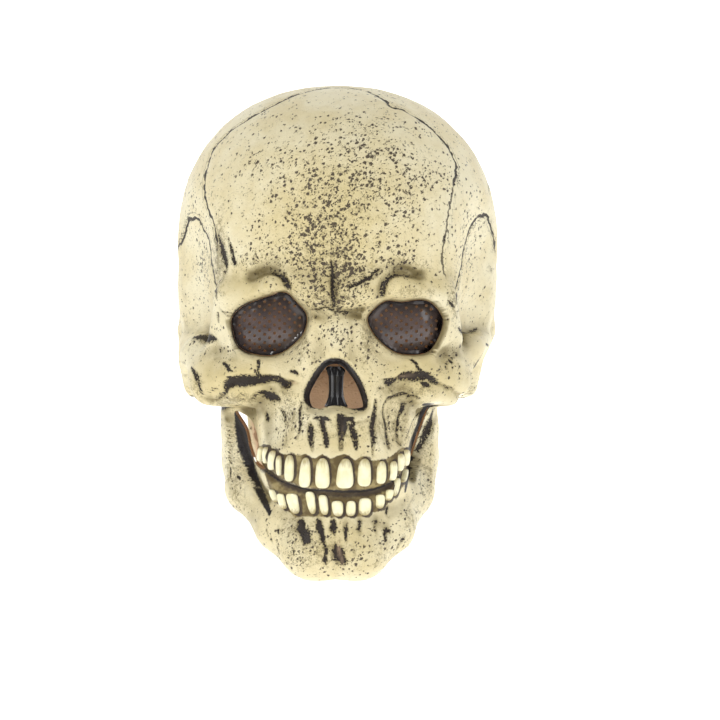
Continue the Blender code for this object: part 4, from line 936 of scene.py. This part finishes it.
# x y of the top, x y of the foot, width at the top and at the foot, all in pixels
teeth = {
    "upper": (
        (262.5, 446.5, 261, 461.5, 5.5, 5), (266.8, 447, 266.8, 463.5, 4.6, 4.2),
        (273.8, 450.5, 272.3, 470, 6.4, 7), (279.5, 455.5, 280, 475.5, 4.6, 4.6),
        (290, 455, 289.5, 481.5, 8, 9.4), (306, 457.5, 304.5, 487.5, 8.6, 12.4),
        (322.5, 458, 322.5, 488.5, 11.2, 15.2), (345.5, 458.5, 344.5, 488.5, 11.6, 18.6),
        (364.5, 458.5, 364, 486.5, 10.8, 13.6), (381.5, 461, 380.3, 483.8, 8, 9.8),
        (393.2, 461, 391.3, 480.5, 6.2, 7.4), (400, 453.5, 399, 471, 6, 5), (405.8, 449.5, 404.5, 466, 7, 6.5),
    ),
    "lower": (
        (272.5, 489.5, 276.8, 502, 4.6, 4), (281, 493.5, 284.2, 509, 6, 5), (291.5, 493.5, 296, 513.8, 12, 8.8),
        (309.5, 491.5, 313.2, 514, 9.6, 7), (322.5, 494.8, 325, 515, 9, 8), (337, 500.8, 338.2, 516.5, 11.5, 9.5),
        (351.2, 500.8, 350.5, 516.2, 8.6, 9.2), (365, 498, 364.5, 515.5, 12, 10.8),
        (380, 494.5, 379.2, 508.6, 8.6, 7.4), (389.5, 489.5, 387.5, 500.5, 6.5, 5.5),
        (397, 478, 393.5, 496, 5.8, 5.2), (404.5, 469, 401.8, 482.5, 5, 4.4),
    ),
    # how square the two ends are: the end at the gum and the biting end
    "gumEnd": 2.7,
    "bitingEnd": 3.4,
    "roundness": 2.6,
    "standOut": 2.7,
    "root": 2.2,
    "plumpness": 1.06,
    "pixelsPerMillimetre": 1.745,
    "shadowShift": {"upper": (1.9, -1.3), "lower": (2.1, 1.4)},
}


# how near each place lies to the shaded side of a tooth, above 0 within its shade
def toothShadeAt(pixels, front):
    best = np.full(len(pixels), -1.0)
    for jaw in ("upper", "lower"):
        shiftX, shiftY = teeth["shadowShift"][jaw]
        for topX, topY, lowX, lowY, widthTop, widthLow in teeth[jaw]:
            share = np.clip((pixels[:, 1] - topY) / (lowY - topY), 0, 1)
            middle = topX + (lowX - topX) * share + shiftX
            half = (widthTop + (widthLow - widthTop) * share) / 2 + 1.2
            tall = (lowY - topY) / 2 + 1.4
            across = np.abs((pixels[:, 0] - middle) / half) ** 2.6
            along = np.abs((pixels[:, 1] - (topY + lowY) / 2 - shiftY) / tall) ** 3.0
            best = np.maximum(best, 1.0 - (across + along) ** 0.37)
    return np.where(front > 0.3, best, -1)


# where the olive rim of the eye openings lies in black shade: x y half sizes, strength
rimShade = ((240, 334, 9, 26, 1.6), (252, 310, 14, 9, 1.0), (272, 302, 16, 6, 0.8), (443, 322, 5, 20, 0.4),
            (246, 358, 8, 6, 0.8), (420, 296, 26, 4, 0.3))
# where the bone lip rises into the nose
lipSpots = ((333, 409, 30, 6, 4.5),)

blackLines = (
    # the black valley beside the left jaw branch, the mouth, a painted shadow under the right cheekbone, the right
    # slit: x y half width
    ((236, 414, 2), (240, 425, 6), (244, 445, 7), (249, 462, 6), (254, 478, 5.5), (261, 494, 4.5), (268, 509, 3),
     (271, 516, 1)),
    ((262, 468, 0.9), (280, 480.5, 0.9), (305, 489, 1.0), (330, 491, 1.3), (350, 491.5, 1.4), (370, 490, 1.3),
     (390, 483, 1.0), (400, 475, 0.8)),
    # painted shadow between the right cheekbone and the jaw branch
    ((423, 404.5, 1.2), (431, 405, 2.2), (438, 405.5, 0.8)),
    ((430, 405, 2.0), (425, 409, 3.0), (421.5, 417, 3.2), (419, 426, 3.4), (415.5, 434, 3.0), (412.5, 442, 3.0),
     (410, 452, 2.8), (408.5, 466, 2.4), (407, 480, 1.8), (405, 492, 1.0)),
)


def blackAt(pixels, front):
    best = np.full(len(pixels), -1.0)
    for line in blackLines:
        run = smoothRun(line, False, 5)
        flat = np.column_stack([run[:, :2], np.zeros(len(run))])
        gap, where = nearestOnLine(np.column_stack([pixels, np.zeros(len(pixels))]), flat)
        half = np.interp(where, np.arange(len(run)), run[:, 2])
        best = np.maximum(best, 1.0 - gap / half)
    return np.where(front > 0.3, best, -1)


# materials

def newMaterial(name):
    material = bpy.data.materials.new(name)
    material.use_nodes = True
    tree = material.node_tree
    return material, tree, tree.nodes["Principled BSDF"]


def plug(tree, socket, value):
    if isinstance(value, bpy.types.NodeSocket):
        tree.links.new(value, socket)
    else:
        socket.default_value = value


def calc(tree, operation, first, second=0.0, third=0.0):
    node = tree.nodes.new("ShaderNodeMath")
    node.operation = operation
    plug(tree, node.inputs[0], first)
    plug(tree, node.inputs[1], second)
    plug(tree, node.inputs[2], third)
    return node.outputs[0]


def vectorCalc(tree, operation, first, second):
    node = tree.nodes.new("ShaderNodeVectorMath")
    node.operation = operation
    plug(tree, node.inputs[0], first)
    plug(tree, node.inputs[3 if operation == "SCALE" else 1], second)
    return node.outputs[0]


def mixColour(tree, share, first, second):
    node = tree.nodes.new("ShaderNodeMix")
    node.data_type = "RGBA"
    plug(tree, node.inputs["Factor"], share)
    plug(tree, node.inputs[6], first)
    plug(tree, node.inputs[7], second)
    return node.outputs[2]


# 0 below low, 1 above high, smooth between
def rise(tree, value, low, high):
    node = tree.nodes.new("ShaderNodeMapRange")
    node.interpolation_type = "SMOOTHSTEP"
    plug(tree, node.inputs["Value"], value)
    node.inputs["From Min"].default_value = min(low, high)
    node.inputs["From Max"].default_value = max(low, high)
    node.inputs["To Min"].default_value = 0.0 if low < high else 1.0
    node.inputs["To Max"].default_value = 1.0 if low < high else 0.0
    return node.outputs["Result"]


def fractal(tree, place, scale, detail=3.0, distortion=0.0):
    node = tree.nodes.new("ShaderNodeTexNoise")
    plug(tree, node.inputs["Vector"], place)
    node.inputs["Scale"].default_value = scale
    node.inputs["Detail"].default_value = detail
    node.inputs["Distortion"].default_value = distortion
    return node.outputs["Fac"]


def kept(tree, name):
    node = tree.nodes.new("ShaderNodeAttribute")
    node.attribute_name = name
    return node.outputs["Fac"]


def millimetres(tree):
    node = tree.nodes.new("ShaderNodeTexCoord")
    return vectorCalc(tree, "SCALE", node.outputs["Object"], 1000.0)


# sRGB numbers from 0 to 255 as a linear colour
def paint(red, green, blue):
    def linear(value):
        value = value / 255
        return value / 12.92 if value <= 0.04045 else ((value + 0.055) / 1.055) ** 2.4
    return (linear(red), linear(green), linear(blue), 1.0)


# round marks at some of the cells: how dark each place is
def cellMarks(tree, place, chance, smallest, largest, size=1.0):
    node = tree.nodes.new("ShaderNodeTexVoronoi")
    plug(tree, node.inputs["Vector"], place)
    node.inputs["Scale"].default_value = 1.0
    parts = tree.nodes.new("ShaderNodeSeparateColor")
    tree.links.new(node.outputs["Color"], parts.inputs[0])
    there = calc(tree, "LESS_THAN", parts.outputs[0], chance)
    radius = calc(tree, "MULTIPLY_ADD", parts.outputs[1], largest - smallest, smallest)
    edge = calc(tree, "SUBTRACT", calc(tree, "MULTIPLY", radius, size), node.outputs["Distance"])
    return calc(tree, "MULTIPLY", rise(tree, edge, -0.05, 0.07), there)


bonePaint = {
    "pale": paint(234, 225, 192),
    "warm": paint(225, 212, 171),
    "tan": paint(207, 191, 141),
    # olive and dark brown: brown paint on the bone, and painted shade in its hollows, in the mouth and round the teeth
    "shade": paint(128, 115, 78),
    "darkWashAndShade": paint(62, 51, 44),
    "ink": paint(38, 30, 26),
    "gum": paint(98, 82, 50),
    "gumLight": paint(158, 142, 96),
    "black": paint(36, 32, 32),
    "rim": paint(148, 133, 94),
    "rawLatex": paint(204, 174, 142),
    "pitSpacing": 2.3,
}


def boneMaterial():
    material, tree, shader = newMaterial("agedBonePaint")
    shader.inputs["Specular IOR Level"].default_value = 0.3
    place = millimetres(tree)
    broad = fractal(tree, place, 0.035, 3.0)
    middle = fractal(tree, place, 0.16, 4.0)
    fine = fractal(tree, place, 0.9, 3.0)

    colour = mixColour(tree, rise(tree, broad, 0.35, 0.65), bonePaint["pale"], bonePaint["warm"])
    tanShare = calc(tree, "MULTIPLY_ADD", calc(tree, "SUBTRACT", middle, 0.5), 0.7, kept(tree, "tan"))
    colour = mixColour(tree, rise(tree, tanShare, 0.0, 1.1), colour, bonePaint["tan"])

    # painted shade in the hollows, darker where the form shuts out more light, with the brown paint that gathers there
    hollow = calc(tree, "MULTIPLY_ADD", calc(tree, "SUBTRACT", middle, 0.5), 0.25, kept(tree, "recess"))
    colour = mixColour(tree, calc(tree, "MULTIPLY", rise(tree, hollow, 0.06, 0.52), 0.92), colour, bonePaint["shade"])

    # brown paint and painted shade from the spots, broken up by noise
    brownWashAndShadeLevel = calc(tree, "MULTIPLY_ADD", calc(tree, "SUBTRACT", fractal(tree, place, 0.34, 6.0), 0.5), 1.7,
                 kept(tree, "brownWashAndShade"))
    brownWashAndShadeLevel = calc(tree, "MULTIPLY_ADD", calc(tree, "SUBTRACT", fractal(tree, place, 1.3, 4.0), 0.5), 1.6, brownWashAndShadeLevel)
    colour = mixColour(tree, calc(tree, "MULTIPLY", rise(tree, brownWashAndShadeLevel, 0.22, 0.86), 0.72), colour, bonePaint["shade"])

    # round pits in the middle of the face
    warp = vectorCalc(tree, "SCALE", place, 1.0 / bonePaint["pitSpacing"])
    ragged = calc(tree, "MULTIPLY", calc(tree, "SUBTRACT", fractal(tree, place, 1.1, 2.0), 0.5), 0.9)
    shifted = vectorCalc(tree, "ADD", warp, ragged)
    clump = rise(tree, fractal(tree, place, 0.09, 3.0), 0.34, 0.62)
    chance = calc(tree, "MULTIPLY", kept(tree, "pitting"), calc(tree, "MULTIPLY_ADD", clump, 0.98, 0.24))
    size = calc(tree, "MULTIPLY_ADD", kept(tree, "pitting"), 0.42, 0.66)
    pits = cellMarks(tree, shifted, chance, 0.16, 0.50, size)
    finer = vectorCalc(tree, "SCALE", shifted, 1.75)
    pits = calc(tree, "MAXIMUM", pits, cellMarks(tree, finer, calc(tree, "MULTIPLY", chance, 0.75), 0.14, 0.40, size))

    # drawn-out marks that follow the outline at the sides
    parts = tree.nodes.new("ShaderNodeSeparateXYZ")
    tree.links.new(place, parts.inputs[0])
    upright = calc(tree, "ADD", parts.outputs[2], seat[2] - 20.0)
    turn = calc(tree, "ARCTAN2", parts.outputs[0], upright)
    reach = calc(tree, "SQRT", calc(tree, "ADD", calc(tree, "POWER", parts.outputs[0], 2.0),
                                    calc(tree, "POWER", upright, 2.0)))
    polar = tree.nodes.new("ShaderNodeCombineXYZ")
    plug(tree, polar.inputs[0], calc(tree, "MULTIPLY", turn, 17.0))
    plug(tree, polar.inputs[1], calc(tree, "MULTIPLY", reach, 0.75))
    plug(tree, polar.inputs[2], calc(tree, "MULTIPLY", parts.outputs[1], 0.3))
    dashes = cellMarks(tree, vectorCalc(tree, "ADD", polar.outputs[0], ragged), 0.20, 0.08, 0.30)
    dashes = calc(tree, "MULTIPLY", dashes, rise(tree, middle, 0.40, 0.62))
    worms = rise(tree, calc(tree, "MULTIPLY", fractal(tree, place, 0.42, 3.5, 0.8),
                            calc(tree, "MULTIPLY_ADD", kept(tree, "pitting"), 0.30, 0.72)), 0.600, 0.635)
    marks = calc(tree, "MAXIMUM", calc(tree, "MAXIMUM", pits, calc(tree, "MULTIPLY", dashes, 0.7)), worms)
    colour = mixColour(tree, calc(tree, "MULTIPLY", marks, 0.92), colour, bonePaint["darkWashAndShade"])

    # strokes with ragged edges
    rough = calc(tree, "SUBTRACT", fractal(tree, place, 0.75, 4.0), 0.5)
    crumbs = calc(tree, "SUBTRACT", fractal(tree, place, 0.95, 3.0), 0.5)
    # weaker strokes break up into crumbs of ink
    strokeLevel = calc(tree, "MULTIPLY_ADD", rough, 1.2, kept(tree, "strokeLevel"))
    strokeLevel = calc(tree, "MULTIPLY_ADD", crumbs, 1.9, strokeLevel)
    strokeLevel = calc(tree, "MULTIPLY_ADD", calc(tree, "SUBTRACT", kept(tree, "strokeInk"), 1.0), 0.7, strokeLevel)
    strokeMask = calc(tree, "MULTIPLY", rise(tree, strokeLevel, -0.16, 0.02), 0.97)
    halo = calc(tree, "MULTIPLY_ADD", crumbs, 0.8, kept(tree, "strokeLevel"))
    halo = calc(tree, "MULTIPLY", rise(tree, halo, -0.7, 0.2), calc(tree, "MULTIPLY", kept(tree, "strokeInk"), 0.75))
    colour = mixColour(tree, halo, colour, bonePaint["shade"])
    colour = mixColour(tree, strokeMask, colour, bonePaint["ink"])

    # cracks: the gap is shifted by noise, so that the line wanders
    wander = calc(tree, "MULTIPLY_ADD", calc(tree, "SUBTRACT", fractal(tree, place, 0.28, 5.0), 0.5), 4.2,
                  kept(tree, "crackGap"))
    thick = calc(tree, "MULTIPLY", kept(tree, "crackHalf"), calc(tree, "ADD", fractal(tree, place, 0.12, 3.0), 0.4))
    crackEdge = calc(tree, "SUBTRACT", thick, calc(tree, "ABSOLUTE", wander))
    crackMask = calc(tree, "MULTIPLY", rise(tree, crackEdge, -0.18, 0.08), kept(tree, "crackInk"))
    colour = mixColour(tree, crackMask, colour, bonePaint["ink"])

    # gum, painted shade in the mouth and round the teeth, black valleys and rims
    gumLevel = calc(tree, "MULTIPLY_ADD", rough, 0.7, kept(tree, "gum"))
    gumMask = rise(tree, gumLevel, -0.05, 0.35)
    gumTone = mixColour(tree, rise(tree, middle, 0.40, 0.68), bonePaint["gum"], bonePaint["gumLight"])
    colour = mixColour(tree, gumMask, colour, gumTone)
    valley = calc(tree, "MULTIPLY_ADD", rough, 0.7, kept(tree, "lipShade"))
    colour = mixColour(tree, calc(tree, "MULTIPLY", rise(tree, valley, 0.25, 0.85), 0.85), colour, bonePaint["darkWashAndShade"])
    blackLevel = calc(tree, "MULTIPLY_ADD", rough, 0.8, kept(tree, "black"))
    blackMask = rise(tree, blackLevel, -0.1, 0.35)
    eyeMask = rise(tree, calc(tree, "MULTIPLY_ADD", rough, 1.2, kept(tree, "eyeGap")), -0.7, 0.5)
    noseMask = rise(tree, calc(tree, "MULTIPLY_ADD", crumbs, 2.2, kept(tree, "noseGap")), -1.3, -0.5)
    dark = calc(tree, "MAXIMUM", blackMask, calc(tree, "MAXIMUM", eyeMask, noseMask))
    shadeLevel = calc(tree, "MULTIPLY_ADD", rough, 0.25, kept(tree, "toothShade"))
    toothShade = calc(tree, "MULTIPLY", rise(tree, shadeLevel, -0.04, 0.12), 0.9)
    colour = mixColour(tree, toothShade, colour, bonePaint["darkWashAndShade"])
    # the eye rims are olive paint, turned black where painted shadow lies on them; the nose rim and the black lines
    # stay black
    rimTone = calc(tree, "MULTIPLY_ADD", rough, 0.8, kept(tree, "rimTone"))
    rimPaint = mixColour(tree, rise(tree, rimTone, 0.25, 0.75), bonePaint["black"], bonePaint["rim"])
    colour = mixColour(tree, dark, colour, rimPaint)
    colour = mixColour(tree, kept(tree, "inside"), colour, bonePaint["rawLatex"])
    tree.links.new(colour, shader.inputs["Base Color"])

    gloss = calc(tree, "MULTIPLY_ADD", fine, 0.16, 0.40)
    gloss = calc(tree, "MULTIPLY_ADD", dark, -0.06, gloss)
    tree.links.new(gloss, shader.inputs["Roughness"])

    height = calc(tree, "MULTIPLY", marks, -0.8)
    height = calc(tree, "MULTIPLY_ADD", strokeMask, -0.5, height)
    height = calc(tree, "MULTIPLY_ADD", crackMask, -0.9, height)
    height = calc(tree, "MULTIPLY_ADD", fine, 0.30, height)
    height = calc(tree, "MULTIPLY_ADD", middle, 0.5, height)
    bump = tree.nodes.new("ShaderNodeBump")
    bump.inputs["Strength"].default_value = 0.85
    bump.inputs["Distance"].default_value = 0.0012
    tree.links.new(height, bump.inputs["Height"])
    tree.links.new(bump.outputs["Normal"], shader.inputs["Normal"])
    return material


shell = makeShell()
print("shell cut:", len(shell.data.polygons), "faces")
paintShell(shell)
shell.data.materials.clear()
shell.data.materials.append(boneMaterial())
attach(shell, "root")
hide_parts("skull_shell")
print("shell painted")

# teeth

def firstTooth():
    bpy.ops.object.select_all(action="DESELECT")
    bpy.ops.mesh.primitive_uv_sphere_add(segments=28, ring_count=20, radius=1.0)
    bpy.ops.object.shade_smooth()
    return bpy.context.object


# pulls a ball into the form of one tooth, standing on the gum
def shapeTooth(tooth, row, skin, jaw):
    widthTop, widthLow = row[4:]
    top, foot, left, right = skin
    ball = coordinates(tooth.data)
    up, flat = ball[:, 2], np.maximum(np.hypot(ball[:, 0], ball[:, 1]), 1e-6)
    ends = np.where((up > 0) == (jaw == "upper"), teeth["gumEnd"], teeth["bitingEnd"])
    profile = np.maximum(1.0 - np.abs(up) ** ends, 0.0) ** (1.0 / ends)
    side = np.sign(ball[:, 0]) * (np.abs(ball[:, 0]) / flat) ** (2.0 / teeth["roundness"])
    out = np.sign(ball[:, 1]) * (np.abs(ball[:, 1]) / flat) ** (2.0 / teeth["roundness"])
    turn = math.atan2(right[1] - left[1], right[0] - left[0])
    scale = teeth["pixelsPerMillimetre"] * max(math.cos(turn), 0.6)
    share = (up + 1.0) / 2.0
    half = (widthLow + (widthTop - widthLow) * share) / scale / 2.0 * teeth["plumpness"]
    middle = foot + (top - foot) * share[:, None]
    across = side * half * profile
    forward = np.where(out < 0, out * teeth["standOut"], out * teeth["root"]) * (0.25 + 0.75 * profile)
    forward = np.where(profile < 1e-4, 0.0, forward)
    places = middle + np.stack([across * math.cos(turn) - forward * math.sin(turn),
                                across * math.sin(turn) + forward * math.cos(turn),
                                np.zeros(len(up))], axis=1)
    setCoordinates(tooth.data, toRow(places))
    fromGum = (1.0 - up) / 2.0 if jaw == "upper" else (1.0 + up) / 2.0
    keep(tooth.data, "fromGum", fromGum)
    keep(tooth.data, "edge", np.abs(side) * 0.6 + 0.4 * (1.0 - profile))


def enamelMaterial():
    material, tree, shader = newMaterial("ivoryEnamel")
    place = millimetres(tree)
    long = vectorCalc(tree, "MULTIPLY", place, (1.6, 1.0, 0.22))
    streak = fractal(tree, long, 0.8, 3.0)
    cloud = fractal(tree, place, 0.22, 3.0)
    colour = mixColour(tree, rise(tree, cloud, 0.35, 0.65), paint(246, 240, 205), paint(236, 229, 184))
    colour = mixColour(tree, calc(tree, "MULTIPLY", rise(tree, streak, 0.52, 0.72), 0.10), colour, paint(205, 192, 140))
    root = calc(tree, "MULTIPLY_ADD", calc(tree, "SUBTRACT", streak, 0.5), 0.5, kept(tree, "fromGum"))
    colour = mixColour(tree, calc(tree, "MULTIPLY", rise(tree, root, 0.34, 0.02), 0.75), colour, paint(166, 148, 96))
    # painted shade down the sides and at the ends of each tooth
    rim = calc(tree, "MULTIPLY_ADD", calc(tree, "SUBTRACT", cloud, 0.5), 0.4, kept(tree, "edge"))
    colour = mixColour(tree, calc(tree, "MULTIPLY", rise(tree, rim, 0.55, 0.92), 0.42), colour, paint(150, 132, 88))
    tree.links.new(colour, shader.inputs["Base Color"])
    tree.links.new(calc(tree, "MULTIPLY_ADD", cloud, 0.12, 0.18), shader.inputs["Roughness"])
    bump = tree.nodes.new("ShaderNodeBump")
    bump.inputs["Strength"].default_value = 0.12
    bump.inputs["Distance"].default_value = 0.0006
    tree.links.new(streak, bump.inputs["Height"])
    tree.links.new(bump.outputs["Normal"], shader.inputs["Normal"])
    return material


def makeTeeth():
    first = firstTooth()
    enamel = enamelMaterial()
    for jaw in ("upper", "lower"):
        pixels = []
        for topX, topY, lowX, lowY, _, _ in teeth[jaw]:
            middleX, middleY = (topX + lowX) / 2, (topY + lowY) / 2
            pixels += [(topX, topY), (lowX, lowY), (middleX - 2, middleY), (middleX + 2, middleY)]
        skins = skinAt(pixels).reshape(-1, 4, 3)
        for number, (row, skin) in enumerate(zip(teeth[jaw], skins), start=1):
            tooth = bpy.data.objects.new(f"{jaw}Tooth{number:02d}", first.data.copy())
            bpy.context.scene.collection.objects.link(tooth)
            shapeTooth(tooth, row, skin, jaw)
            tooth.data.materials.append(enamel)
            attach(tooth, "root")
            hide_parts(f"{jaw}_tooth_{number:02d}")
    bpy.data.objects.remove(first, do_unlink=True)


makeTeeth()
print("teeth set in the gum")

# eye screens

screens = {
    "thickness": 1.0,
    "sink": 0.9,
    "clearance": 0.35,
    "cell": 1.6,
    "holePitch": 5.8,
    "rowPitch": 2.35,
    "holeSize": 1.7,
    "rowTilt": math.radians(7),
    "edge": 2.0,
}


# middles of the holes: staggered rows that rise to the right
def holePlaces(run):
    middle = run.mean(axis=0)
    along = np.array((math.cos(screens["rowTilt"]), math.sin(screens["rowTilt"])))
    places = []
    for row in range(-9, 10):
        for column in range(-6, 7):
            shift = 0.5 * (row % 2)
            place = middle + along * (column + shift) * screens["holePitch"]
            places.append(place + (0.0, row * screens["rowPitch"]))
    places = np.array(places)
    return places[signedGap(places, run) > screens["edge"]]


# a prism in flat millimetres, from y -1 to 2
def flatPrism(name, run):
    cutter = outlineCutter(name, run, "y", -1.0, 2.0)
    setCoordinates(cutter.data, toFace(coordinates(cutter.data)))
    return cutter


def makeScreen(name, outline, node, material):
    run = insetRun(smoothRun(outlines[outline], True, 6), skull["eyeInset"] + screens["clearance"])
    low, high = run.min(axis=0) - 1.0, run.max(axis=0) + 1.0
    middle, size = (low + high) / 2, high - low
    bpy.ops.object.select_all(action="DESELECT")
    bpy.ops.mesh.primitive_grid_add(x_subdivisions=int(size[0] / screens["cell"]),
                                    y_subdivisions=int(size[1] / screens["cell"]), size=1.0)
    sheet = bpy.context.object
    sheet.name = name
    flat = coordinates(sheet.data)
    setCoordinates(sheet.data, np.stack([middle[0] + flat[:, 0] * size[0], np.zeros(len(flat)),
                                         middle[1] + flat[:, 1] * size[1]], axis=1))
    thick = sheet.modifiers.new("thickness", "SOLIDIFY")
    thick.thickness = screens["thickness"]
    thick.offset = -1.0
    applyModifiers(sheet)
    depths = coordinates(sheet.data)[:, 1]
    backwards = depths.min() < -0.5
    if backwards:
        moved = coordinates(sheet.data)
        moved[:, 1] += screens["thickness"]
        setCoordinates(sheet.data, moved)
    trim = flatPrism("screenOutline", run)
    first = None
    holes = []
    for centre in holePlaces(run):
        turns = np.linspace(0, 2 * math.pi, 12, endpoint=False)
        ring = centre + screens["holeSize"] / 2 * np.stack([np.cos(turns), np.sin(turns)], axis=1)
        if first is None:
            first = flatPrism("sightHole", ring)
            firstCentre = centre
            holes.append(first)
        else:
            hole = bpy.data.objects.new("sightHole", first.data.copy())
            bpy.context.scene.collection.objects.link(hole)
            shift = (centre[0] - firstCentre[0], 0.0, centre[1] - firstCentre[1])
            setCoordinates(hole.data, coordinates(hole.data) + shift)
            holes.append(hole)
    onlyThis(first)
    for hole in holes:
        hole.select_set(True)
    bpy.ops.object.join()
    for operation, cutter in (("INTERSECT", trim), ("DIFFERENCE", first)):
        boolean = sheet.modifiers.new(operation, "BOOLEAN")
        boolean.operation = operation
        boolean.solver = "MANIFOLD"
        boolean.object = cutter
    applyModifiers(sheet)
    bpy.data.objects.remove(trim, do_unlink=True)
    bpy.data.objects.remove(first, do_unlink=True)
    flat = coordinates(sheet.data)
    front = frontPoints(flat[:, (0, 2)], -screens["sink"])
    front[:, 1] += flat[:, 1]
    setCoordinates(sheet.data, toRow(front))
    bpy.ops.object.shade_smooth_by_angle(angle=math.radians(35))
    sheet.data.materials.clear()
    sheet.data.materials.append(material)
    inner = signedGap(front[:, (0, 2)], run)
    keep(sheet.data, "fromEdge", np.maximum(inner, 0.0))
    keep(sheet.data, "fromTop", high[1] - front[:, 2])
    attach(sheet, "root")
    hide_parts(node)
    print(name, len(holes), "holes,", len(sheet.data.polygons), "faces")


def smokedMaterial():
    material, tree, shader = newMaterial("smokedScreen")
    place = millimetres(tree)
    cloud = fractal(tree, place, 0.10, 3.0)
    grain = fractal(tree, place, 2.4, 2.0)
    colour = mixColour(tree, rise(tree, cloud, 0.36, 0.64), paint(92, 78, 74), paint(70, 61, 60))
    # painted shadow of the brow over the top of each screen, and painted shade along its edge
    colour = mixColour(tree, rise(tree, kept(tree, "fromTop"), 11.0, 1.0), colour, paint(40, 34, 34))
    colour = mixColour(tree, rise(tree, kept(tree, "fromEdge"), 2.6, 0.2), colour, paint(34, 29, 28))
    colour = mixColour(tree, calc(tree, "MULTIPLY", rise(tree, grain, 0.55, 0.75), 0.2), colour, paint(120, 108, 104))
    tree.links.new(colour, shader.inputs["Base Color"])
    tree.links.new(calc(tree, "MULTIPLY_ADD", cloud, 0.10, 0.14), shader.inputs["Roughness"])
    return material


smoked = smokedMaterial()
makeScreen("leftEyeScreen", "eyeLeft", "left_eye_screen", smoked)
makeScreen("rightEyeScreen", "eyeRight", "right_eye_screen", smoked)

# septum

septum = {
    "middle": 0.4,
    "waist": 4.1,
    "ends": 6.8,
    "thickness": 1.6,
    "foot": -51.2,
    "headDrop": 1.0,
    "ridge": 0.9,
    "sink": 0.9,
}


# where an outline crosses a height, from left to right
def crossingsAt(run, height):
    found = []
    for index in range(len(run)):
        (x0, z0), (x1, z1) = run[index], run[(index + 1) % len(run)]
        if (z0 > height) != (z1 > height):
            found.append(x0 + (height - z0) / (z1 - z0) * (x1 - x0))
    return sorted(found)


def makeSeptum():
    opening = insetRun(smoothRun(outlines["nose"], True, 6), skull["noseInset"] + 0.35)
    head = opening[:, 1].max() - septum["headDrop"]
    bpy.ops.object.select_all(action="DESELECT")
    bpy.ops.mesh.primitive_grid_add(x_subdivisions=12, y_subdivisions=24, size=2.0)
    strip = bpy.context.object
    strip.name = "nasalSeptum"
    flat = coordinates(strip.data)
    heights = head + (septum["foot"] - head) * (1 - flat[:, 1]) / 2
    ends = frontPoints(np.array([(septum["middle"], head), (septum["middle"], septum["foot"])]), -septum["sink"])
    places = []
    for (across, up, _), height in zip(flat, heights):
        half = septum["waist"] + (septum["ends"] - septum["waist"]) * abs(up) ** 3
        spans = crossingsAt(opening, height)
        left = max(septum["middle"] - half, spans[0])
        right = min(septum["middle"] + half, spans[-1])
        share = (1 - up) / 2
        depth = ends[0][1] + share * (ends[1][1] - ends[0][1])
        # two ridges with a shallow valley between them
        depth -= septum["ridge"] * math.cos(across * math.pi * 1.5) ** 2 * (1 - across ** 6)
        places.append((left + (across + 1) / 2 * (right - left), depth, height))
    setCoordinates(strip.data, toRow(places))
    thick = strip.modifiers.new("thickness", "SOLIDIFY")
    thick.thickness = septum["thickness"] * 0.001
    thick.offset = -1.0
    applyModifiers(strip)
    bpy.ops.object.shade_smooth_by_angle(angle=math.radians(60))
    material, tree, shader = newMaterial("blackGloss")
    place = millimetres(tree)
    long = vectorCalc(tree, "MULTIPLY", place, (1.5, 1.0, 0.2))
    streak = fractal(tree, long, 0.6, 3.0)
    tree.links.new(mixColour(tree, rise(tree, streak, 0.4, 0.7), paint(20, 19, 20), paint(36, 34, 35)),
                   shader.inputs["Base Color"])
    tree.links.new(calc(tree, "MULTIPLY_ADD", streak, 0.12, 0.12), shader.inputs["Roughness"])
    strip.data.materials.clear()
    strip.data.materials.append(material)
    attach(strip, "root")
    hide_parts("nasal_septum")


makeSeptum()
print("screens and septum in place")
